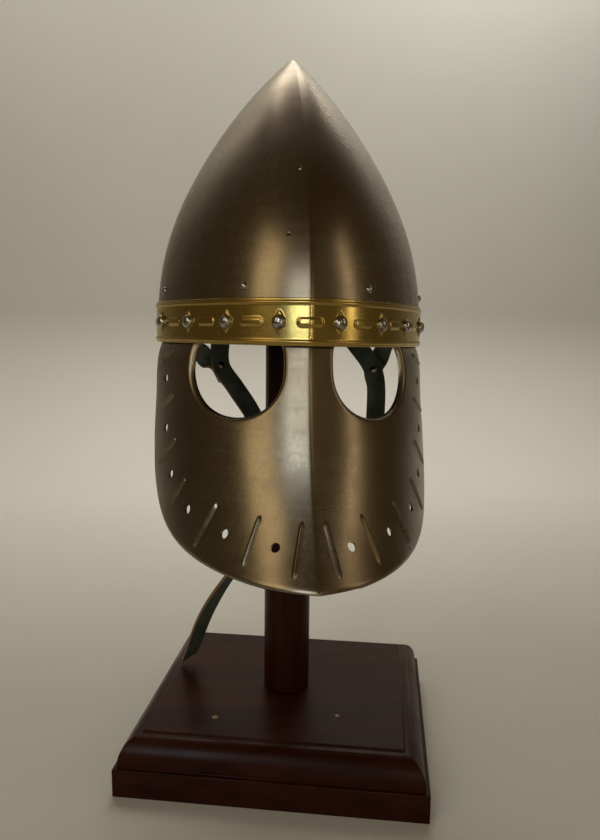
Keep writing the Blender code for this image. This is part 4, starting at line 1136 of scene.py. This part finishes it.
class Finish:
    """A material built node by node, with short names for the nodes that it needs."""

    def __init__(self, name):
        self.material = bpy.data.materials.new(name)
        self.material.use_nodes = True
        self.tree = self.material.node_tree
        self.shader = self.tree.nodes["Principled BSDF"]
        self.place = self.add("ShaderNodeTexCoord").outputs["Object"]

    def add(self, kind, **settings):
        """A node with some of its settings."""
        made = self.tree.nodes.new(kind)
        for key, value in settings.items():
            setattr(made, key, value)
        return made

    def link(self, source, target):
        """A link, or a plain value, into a socket."""
        if isinstance(source, bpy.types.NodeSocket):
            self.tree.links.new(source, target)
        else:
            target.default_value = source

    def stretched(self, scale, turn=(0.0, 0.0, 0.0)):
        """The place, scaled and turned, so that a pattern runs along one way."""
        mapping = self.add("ShaderNodeMapping")
        mapping.inputs["Rotation"].default_value = turn
        mapping.inputs["Scale"].default_value = scale
        self.link(self.place, mapping.inputs["Vector"])
        return mapping.outputs["Vector"]

    def noise(self, scale, detail=4.0, rough=0.5, place=None, distortion=0.0):
        """Cloudy noise from nought to one."""
        made = self.add("ShaderNodeTexNoise")
        made.inputs["Scale"].default_value = scale
        made.inputs["Detail"].default_value = detail
        made.inputs["Roughness"].default_value = rough
        made.inputs["Distortion"].default_value = distortion
        self.link(place or self.place, made.inputs["Vector"])
        return made.outputs["Fac"]

    def cells(self, scale):
        """Distance to the edge of cells."""
        made = self.add("ShaderNodeTexVoronoi", feature="DISTANCE_TO_EDGE")
        made.inputs["Scale"].default_value = scale
        self.link(self.place, made.inputs["Vector"])
        return made.outputs["Distance"]

    def ramp(self, value, low, high, start=0.0, end=1.0):
        """A value stretched from one range to another, and kept in it."""
        made = self.add("ShaderNodeMapRange")
        self.link(value, made.inputs["Value"])
        made.inputs["From Min"].default_value = low
        made.inputs["From Max"].default_value = high
        made.inputs["To Min"].default_value = start
        made.inputs["To Max"].default_value = end
        return made.outputs["Result"]

    def math(self, operation, first, second=0.0):
        """Two values combined."""
        made = self.add("ShaderNodeMath", operation=operation)
        self.link(first, made.inputs[0])
        self.link(second, made.inputs[1])
        return made.outputs[0]

    def mix(self, share, first, second):
        """Two colours mixed."""
        made = self.add("ShaderNodeMix", data_type="RGBA")
        self.link(share, made.inputs["Factor"])
        for source, socket in ((first, made.inputs[6]), (second, made.inputs[7])):
            if isinstance(source, bpy.types.NodeSocket):
                self.link(source, socket)
            else:
                socket.default_value = (*source, 1.0)
        return made.outputs[2]

    def attribute(self, name):
        """A value stored on the piece's points."""
        return self.add("ShaderNodeAttribute", attribute_name=name).outputs["Fac"]

    def bump(self, height, strength, distance, under=None):
        """A bumped normal, on top of another one."""
        made = self.add("ShaderNodeBump")
        made.inputs["Strength"].default_value = strength
        made.inputs["Distance"].default_value = distance
        self.link(height, made.inputs["Height"])
        if under is not None:
            self.link(under, made.inputs["Normal"])
        return made.outputs["Normal"]

    def wear(self, colour, rough, normal, metallic=0.0):
        """The shader's colour, roughness, normal and metalness."""
        for name, source in (("Base Color", colour), ("Roughness", rough), ("Normal", normal)):
            self.link(source, self.shader.inputs[name])
        self.shader.inputs["Metallic"].default_value = metallic

    def spots(self, spots):
        """One near any of a few places, from rows of place and radius; nought elsewhere."""
        total = 0.0
        for place, radius in spots:
            away = self.add("ShaderNodeVectorMath", operation="DISTANCE")
            self.link(self.place, away.inputs[0])
            away.inputs[1].default_value = place
            near = self.ramp(away.outputs["Value"], radius, radius * 0.4)
            total = self.math("MAXIMUM", total, near)
        return total


def steel_finish(colours):
    """Satin-polished steel, faintly hammered, with a brown patina, fine scratches and pits."""
    steel = Finish("steel_finish")
    cloud = steel.noise(11.0, 3.0, 0.5)
    streak = steel.noise(16.0, 3.0, 0.5, steel.stretched((1.0, 1.0, 0.22)))
    patina = steel.ramp(steel.math("ADD", cloud, streak), 0.75, 1.25)
    marks = [skull_mark(angle, share) for angle, share in SKULL_MARKS]
    pits = steel.spots([(mark, PIT_RADIUS) for mark in marks])
    colour = steel.mix(patina, colours.steel, colours.steel_brown)
    stains = steel.ramp(steel.noise(38.0, 4.0, 0.6), 0.58, 0.80, 0.0, 0.30)
    colour = steel.mix(stains, colour, (0.12, 0.08, 0.05))
    colour = steel.mix(steel.math("MULTIPLY", pits, 0.8), colour, (0.03, 0.02, 0.012))
    scratches = steel.noise(420.0, 3.0, 0.6, steel.stretched((1.0, 1.0, 0.05)))
    crossing = steel.noise(380.0, 3.0, 0.6, steel.stretched((0.06, 0.06, 1.0)))
    fine = steel.math("ADD", scratches, crossing)
    rough = steel.ramp(patina, 0.0, 1.0, 0.24, 0.30)
    rough = steel.math("ADD", rough, steel.ramp(fine, 0.9, 1.3, 0.0, 0.05))
    rough = steel.math("ADD", rough, steel.math("MULTIPLY", stains, 0.15))
    normal = steel.bump(steel.noise(24.0, 1.0, 0.4), 0.30, 0.0006)
    normal = steel.bump(fine, 0.05, 0.0001, normal)
    normal = steel.bump(steel.math("MULTIPLY", pits, -1.0), 0.6, 0.0006, normal)
    steel.wear(colour, rough, normal, 1.0)


def skull_mark(degrees, share):
    """A place on the skull's outer face, in the part's frame."""
    top = BAND_HEIGHT / 2
    height = np.array([top + share * (SKULL_HEIGHT - top)])
    spot = skull_point(np.array([math.radians(degrees)]), height)
    return tuple(placed(spot, helmet_matrix())[0])


def brass_finish(colours):
    """Brass, polished on its raised parts and tarnished brown in its hollows."""
    brass = Finish("brass_finish")
    recess = brass.attribute("recess")
    cloud = brass.noise(22.0, 5.0, 0.6)
    worn = brass.ramp(cloud, 0.42, 0.72, 0.0, 0.75)
    tarnish = brass.math("MAXIMUM", worn, brass.math("MULTIPLY", recess, 0.8))
    specks = brass.ramp(brass.noise(500.0, 2.0), 0.60, 0.72, 0.0, 0.5)
    tarnish = brass.math("MAXIMUM", tarnish, specks)
    colour = brass.mix(tarnish, colours.brass, colours.brass_brown)
    rough = brass.ramp(tarnish, 0.0, 1.0, 0.20, 0.38)
    scratches = brass.noise(520.0, 3.0, 0.6, brass.stretched((0.06, 0.06, 1.0)))
    normal = brass.bump(brass.noise(60.0, 2.0), 0.25, 0.0004)
    normal = brass.bump(scratches, 0.10, 0.0001, normal)
    brass.wear(colour, rough, normal, 1.0)


def rivet_finish(name, colours, roughness):
    """Bright steel with small dents and a trace of dirt."""
    rivet = Finish(name)
    cloud = rivet.ramp(rivet.noise(300.0, 3.0), 0.45, 0.75)
    colour = rivet.mix(cloud, colours.rivet, (0.16, 0.13, 0.10))
    rough = rivet.ramp(cloud, 0.0, 1.0, roughness, roughness + 0.15)
    normal = rivet.bump(rivet.noise(450.0, 2.0), 0.35, 0.0003)
    rivet.wear(colour, rough, normal, 1.0)


def leather_finish(colours):
    """Dyed leather with a pebbled grain, and a paler raw edge."""
    leather = Finish("leather_finish")
    edge = leather.attribute("edge")
    grain = leather.cells(900.0)
    broad = leather.noise(60.0, 4.0, 0.6)
    light = tuple(min(1.0, 2.2 * part) for part in colours.leather)
    face = leather.mix(leather.ramp(broad, 0.35, 0.75), colours.leather, light)
    dark_edge = tuple(0.45 * part for part in colours.leather_edge)
    raw = leather.mix(leather.noise(500.0, 3.0), colours.leather_edge, dark_edge)
    rough = leather.ramp(broad, 0.3, 0.7, 0.42, 0.60)
    leather.link(leather.mix(edge, face, raw), leather.shader.inputs["Base Color"])
    leather.link(rough, leather.shader.inputs["Roughness"])
    normal = leather.bump(leather.ramp(grain, 0.0, 0.12), 0.30, 0.0002)
    normal = leather.bump(leather.noise(1500.0, 2.0), 0.2, 0.0001, normal)
    leather.link(normal, leather.shader.inputs["Normal"])
    leather.shader.inputs["Specular IOR Level"].default_value = 0.4


def mahogany_finish(name, colours, lengthwise):
    """Stained mahogany under a glossy coat, with pores and a few chips."""
    wood = Finish(name)
    scale = tuple(0.06 if part else 1.0 for part in lengthwise)
    thin = tuple(0.02 if part else 1.0 for part in lengthwise)
    turn = (0.0, 0.0, -STAND_TURN)
    along = wood.stretched(scale, turn)
    broad = wood.noise(70.0, 5.0, 0.6, along, 0.8)
    pores = wood.noise(900.0, 3.0, 0.6, wood.stretched(thin, turn))
    cloud = wood.noise(12.0, 3.0)
    dark = wood.math("MULTIPLY", wood.ramp(broad, 0.40, 0.66), 0.75)
    dark = wood.math("MAXIMUM", dark, wood.ramp(pores, 0.58, 0.66, 0.0, 0.8))
    colour = wood.mix(dark, colours.wood, colours.wood_dark)
    shade = tuple(0.45 * part for part in colours.wood)
    colour = wood.mix(wood.ramp(cloud, 0.40, 0.70, 0.0, 0.6), colour, shade)
    bare = wood.spots(CHIPS)
    bare = wood.math("MULTIPLY", bare, wood.ramp(wood.noise(600.0, 3.0), 0.35, 0.5))
    colour = wood.mix(bare, colour, colours.wood_bare)
    wood.link(colour, wood.shader.inputs["Base Color"])
    smears = wood.ramp(wood.noise(30.0, 4.0, 0.6), 0.35, 0.7)
    wood.link(wood.ramp(smears, 0.0, 1.0, 0.30, 0.44), wood.shader.inputs["Roughness"])
    normal = wood.bump(pores, 0.15, 0.0002)
    normal = wood.bump(wood.noise(45.0, 3.0), 0.12, 0.0005, normal)
    wood.link(normal, wood.shader.inputs["Normal"])
    wood.shader.inputs["Specular IOR Level"].default_value = 0.12
    wood.shader.inputs["Coat Weight"].default_value = 0.03
    wood.shader.inputs["Coat Roughness"].default_value = 0.15


def floor_finish(colours):
    """Plain pale board with a faint fibre."""
    floor = Finish("floor_finish")
    dim = tuple(0.93 * part for part in colours.floor)
    colour = floor.mix(floor.noise(4.0, 3.0), colours.floor, dim)
    floor.wear(colour, 0.85, floor.bump(floor.noise(220.0, 3.0), 0.05, 0.0004))


# Operators ---------------------------------------------------------------------------


class HELMET_OT_finishes(bpy.types.Operator):
    """Make the finishes that the pieces wear."""

    bl_idname = "helmet.finishes"
    bl_label = "Make finishes"

    def execute(self, context):
        colours = context.scene.helmet_colours
        steel_finish(colours)
        brass_finish(colours)
        rivet_finish("rivet_steel_finish", colours, 0.20)
        rivet_finish("ring_steel_finish", colours, 0.30)
        leather_finish(colours)
        mahogany_finish("mahogany_finish", colours, (1, 0, 0))
        mahogany_finish("mahogany_post_finish", colours, (0, 0, 1))
        return {"FINISHED"}


class HELMET_OT_skull(bpy.types.Operator):
    """Make the raised skull with its keel."""

    bl_idname = "helmet.skull"
    bl_label = "Make skull"

    def execute(self, context):
        shape = skull_surface(context.scene.helmet_sizes.keel_softness)
        add_piece("raised_skull", shape, helmet_matrix(), ["skull"], "steel", 50.0)
        return {"FINISHED"}


class HELMET_OT_band(bpy.types.Operator):
    """Make the brass brow band with its beads, bars and pointed ovals."""

    bl_idname = "helmet.band"
    bl_label = "Make brow band"

    def execute(self, context):
        *shape, values = band_surface(context.scene.helmet_sizes)
        add_piece("embossed_band", shape, helmet_matrix(), ["brow_band"], "brass", 60.0, values)
        return {"FINISHED"}


class HELMET_OT_guard_plate(bpy.types.Operator):
    """Make the guard plate with its eye openings, rays, turned rim and lace holes."""

    bl_idname = "helmet.guard_plate"
    bl_label = "Make guard plate"

    def execute(self, context):
        sizes = context.scene.helmet_sizes
        matrix = helmet_matrix()
        plate = add_piece("guard_plate", plate_surface(sizes), matrix, ["face_plate"], "steel", 50.0)
        rods = add_piece("lace_hole_rods", lace_hole_rods(), matrix, [], "steel", 35.0)
        cut = plate.modifiers.new("lace holes", "BOOLEAN")
        cut.operation = "DIFFERENCE"
        cut.solver = "EXACT"
        cut.object = rods
        applied(plate)
        bpy.data.objects.remove(rods, do_unlink=True)
        plate.data.set_sharp_from_angle(angle=math.radians(50.0))
        add_piece("raised_rays", ray_ridges(sizes), matrix, ["face_plate"], "steel", 70.0)
        return {"FINISHED"}


class HELMET_OT_band_rivets(bpy.types.Operator):
    """Make the big domed rivets of the band."""

    bl_idname = "helmet.band_rivets"
    bl_label = "Make band rivets"

    def execute(self, context):
        sizes = context.scene.helmet_sizes
        seats, axes = band_rivet_seats()
        matrix = helmet_matrix()
        reach = HALF_WIDTH * math.sin(PLATE_HALF_ANGLE)
        for number, (seat, axis) in enumerate(zip(seats, axes), start=1):
            behind = seat[1] < 0 and abs(seat[0]) < reach
            grip = BAND_WALL + SKULL_WALL + 2 * GAP
            if behind:
                grip += PLATE_WALL + 2 * FACET_ROOM
            profile = rivet_profile(sizes.rivet_radius, sizes.rivet_rise, grip + sizes.boss_rise)
            points, quads = lathe(profile, sizes.rivet_sides)
            shape = (aimed(points, seat + axis * sizes.boss_rise, axis), quads)
            name = f"domed_rivet_{number:02d}"
            add_piece(name, shape, matrix, [f"band_rivet_{number:02d}"], "rivet_steel", 40.0)
        return {"FINISHED"}


class HELMET_OT_skull_rivets(bpy.types.Operator):
    """Make the small domed rivets above the band."""

    bl_idname = "helmet.skull_rivets"
    bl_label = "Make skull rivets"

    def execute(self, context):
        sizes = context.scene.helmet_sizes
        matrix = helmet_matrix()
        for word, share in SKULL_RIVETS.items():
            seat, axis = skull_rivet_seat(share)
            grip = SKULL_WALL + GAP
            if "front" not in word:
                grip += STRAP_WALL + strap_clearance()
            profile = rivet_profile(sizes.small_rivet_radius, sizes.small_rivet_rise, grip, SKULL_RIVET_TAIL)
            points, quads = lathe(profile, sizes.rivet_sides)
            shape = (aimed(points, seat, axis), quads)
            nodes = [f"skull_rivet_{word}"]
            add_piece(f"small_rivet_{word}", shape, matrix, nodes, "rivet_steel", 40.0)
        return {"FINISHED"}


class HELMET_OT_straps(bpy.types.Operator):
    """Make both forked leather straps and the rivets that join their legs."""

    bl_idname = "helmet.straps"
    bl_label = "Make straps"

    def execute(self, context):
        sizes = context.scene.helmet_sizes
        short = short_strap_stations()
        long = long_strap_stations()
        legs = (
            ("right", short, "side_right", SHORT_SIDE_ROUTE),
            ("left", long, "side_left", LONG_SIDE_ROUTE),
        )
        fold = np.array(matched_turns([short[-1]] + fold_stations()[1:]))
        rows = np.concatenate([resampled(short, 150)[:-1], resampled(fold, 60)])
        self.strap("chin_strap_right", rows, "strap_right", sizes)
        self.strap("chin_strap_left", resampled(long, 260), "strap_left", sizes, -TIP_SLANT)
        for word, stations, rivet, route in legs:
            rows = resampled(leg_stations(stations, rivet, route), 80)
            self.strap(f"side_leg_{word}", rows, f"strap_{word}_side_leg", sizes)
            places, normals, turns = joint_place(stations)
            seat = places[0] + normals[0] * STRAP_WALL / 2
            self.rivet(f"joint_rivet_{word}", seat, normals[0], f"strap_rivet_{word}", sizes)
        bar, up, through = ring_axes()
        centre = ring_seat() + up * ((RING_ROOM_HIGH + RING_BAR) / 2 + 3.8 * fold_radius())
        seat = centre + through * (STRAP_WALL + GAP)
        self.rivet("fold_rivet", seat, through, "strap_rivet_fold", sizes)
        return {"FINISHED"}

    def strap(self, name, rows, node, sizes, slant=0.0):
        """One strap along its stations."""
        *shape, values = strap_surface(rows, sizes.strap_corner, slant)
        add_piece(name, shape, helmet_matrix(), [node], "leather", 60.0, values)

    def rivet(self, name, seat, axis, node, sizes):
        """One small rivet through two straps."""
        grip = 2 * STRAP_WALL + 2 * GAP + FACET_ROOM
        profile = rivet_profile(JOINT_RIVET_RADIUS, JOINT_RIVET_RISE, grip, JOINT_RIVET_TAIL)
        points, quads = lathe(profile, sizes.rivet_sides)
        shape = (aimed(points, seat, axis), quads)
        add_piece(name, shape, helmet_matrix(), [node], "rivet_steel", 40.0)


class HELMET_OT_ring(bpy.types.Operator):
    """Make the ring that the straps meet at."""

    bl_idname = "helmet.ring"
    bl_label = "Make strap ring"

    def execute(self, context):
        add_piece("wire_ring", ring_surface(), helmet_matrix(), ["strap_ring"], "ring_steel", 60.0)
        return {"FINISHED"}


class HELMET_OT_stand(bpy.types.Operator):
    """Make the wooden stand: the moulded base and the turned post."""

    bl_idname = "helmet.stand"
    bl_label = "Make stand"

    def execute(self, context):
        sizes = context.scene.helmet_sizes
        matrix = stand_matrix()
        base = add_piece("moulded_base", base_surface(), matrix, ["stand_base"], "mahogany", 25.0)
        soft = base.modifiers.new("arrises", "BEVEL")
        soft.width = sizes.wood_arris
        soft.segments = 3
        soft.limit_method = "ANGLE"
        soft.angle_limit = math.radians(40.0)
        shape = lathe(post_profile(), 72)
        post = add_piece("turned_post", shape, matrix, ["stand_post"], "mahogany", 40.0)
        post.data.materials[0] = bpy.data.materials["mahogany_post_finish"]
        return {"FINISHED"}


class HELMET_OT_stage(bpy.types.Operator):
    """Make the pale floor, the soft lights and the camera."""

    bl_idname = "helmet.stage"
    bl_label = "Make stage"

    def execute(self, context):
        context.scene.view_settings.view_transform = "Standard"
        floor_finish(context.scene.helmet_colours)
        self.floor()
        self.lights()
        self.camera(context)
        return {"FINISHED"}

    def floor(self):
        """A floor that sweeps up into a backdrop behind the helmet."""
        turn = np.linspace(0, math.pi / 2, 13)
        far, sweep, rise = 0.75, 0.35, 2.4
        depth = np.concatenate([[-2.5, 0.0], far + sweep * np.sin(turn), [far + sweep]])
        level = np.concatenate([[0.0, 0.0], sweep * (1 - np.cos(turn)), [rise]])
        across = np.array([-2.5, 2.5])
        y, x = np.meshgrid(depth, across, indexing="ij")
        z = np.broadcast_to(level[:, None], x.shape)
        points = np.stack([x, y, z], axis=-1).reshape(-1, 3)
        mesh = bpy.data.meshes.new("pale_floor")
        faces = grid_quads(len(depth), 2, closed=False)[:, ::-1]
        mesh.from_pydata(points.tolist(), [], faces.tolist())
        mesh.shade_smooth()
        mesh.materials.append(bpy.data.materials["floor_finish"])
        floor = bpy.data.objects.new("pale_floor", mesh)
        bpy.context.scene.collection.objects.link(floor)

    def lights(self):
        """Soft area lights, and a dim warm room all round."""
        world = bpy.data.worlds.new("studio")
        bpy.context.scene.world = world
        world.use_nodes = True
        back = world.node_tree.nodes["Background"]
        back.inputs["Color"].default_value = ROOM_COLOUR
        back.inputs["Strength"].default_value = ROOM_STRENGTH
        for row in LIGHTS:
            self.area(*row)

    def area(self, name, place, aim, size, power, colour, spread):
        """One soft light, aimed at a place."""
        data = bpy.data.lights.new(name, "AREA")
        data.shape = "RECTANGLE"
        data.size, data.size_y = size
        data.energy = power
        data.color = colour
        data.spread = math.radians(spread)
        lamp = bpy.data.objects.new(name, data)
        lamp.location = place
        lamp.rotation_euler = (Vector(aim) - Vector(place)).to_track_quat("-Z", "Y").to_euler()
        bpy.context.scene.collection.objects.link(lamp)

    def camera(self, context):
        """The camera at the photograph's place, from its yaw, pitch and roll."""
        yaw, pitch, roll = (math.radians(turn) for turn in CAMERA_TURN)
        ahead = Vector((-math.sin(yaw), math.cos(yaw), 0.0)) * math.cos(pitch)
        ahead.z = -math.sin(pitch)
        level = Vector((math.cos(yaw), math.sin(yaw), 0.0))
        up = level.cross(ahead)
        right = math.cos(roll) * level + math.sin(roll) * up
        over = -math.sin(roll) * level + math.cos(roll) * up
        data = bpy.data.cameras.new("camera")
        data.sensor_width = 36.0
        data.lens = FOCAL_PIXELS * data.sensor_width / max(IMAGE_SIZE)
        camera = bpy.data.objects.new("camera", data)
        matrix = Matrix((right, over, -ahead)).transposed().to_4x4()
        matrix.translation = Vector(CAMERA_PLACE)
        camera.matrix_world = matrix
        context.scene.collection.objects.link(camera)
        context.scene.camera = camera


class HELMET_PT_panel(bpy.types.Panel):
    """Lists the helmet's sizes, colours and steps."""

    bl_label = "Spectacle guard helmet"
    bl_idname = "HELMET_PT_panel"
    bl_space_type = "VIEW_3D"
    bl_region_type = "UI"
    bl_category = "Helmet"

    def draw(self, context):
        for group in (context.scene.helmet_sizes, context.scene.helmet_colours):
            for name in group.bl_rna.properties.keys()[2:]:
                self.layout.prop(group, name)
        for step in STEPS:
            self.layout.operator(step.bl_idname)


STEPS = (
    HELMET_OT_finishes,
    HELMET_OT_skull,
    HELMET_OT_band,
    HELMET_OT_guard_plate,
    HELMET_OT_band_rivets,
    HELMET_OT_skull_rivets,
    HELMET_OT_straps,
    HELMET_OT_ring,
    HELMET_OT_stand,
    HELMET_OT_stage,
)
CLASSES = (HelmetSizes, HelmetColours, *STEPS, HELMET_PT_panel)


def register():
    """Registers the classes and hangs the settings on the scene."""
    for made in CLASSES:
        bpy.utils.register_class(made)
    bpy.types.Scene.helmet_sizes = PointerProperty(type=HelmetSizes)
    bpy.types.Scene.helmet_colours = PointerProperty(type=HelmetColours)


def unregister():
    """Takes the settings and classes away again."""
    del bpy.types.Scene.helmet_colours
    del bpy.types.Scene.helmet_sizes
    for made in reversed(CLASSES):
        bpy.utils.unregister_class(made)


def main():
    """Makes every piece."""
    register()
    for step in STEPS:
        group, name = step.bl_idname.split(".")
        if getattr(getattr(bpy.ops, group), name)() != {"FINISHED"}:
            raise RuntimeError(f"{step.bl_label} did not finish")


if __name__ == "__main__":
    main()
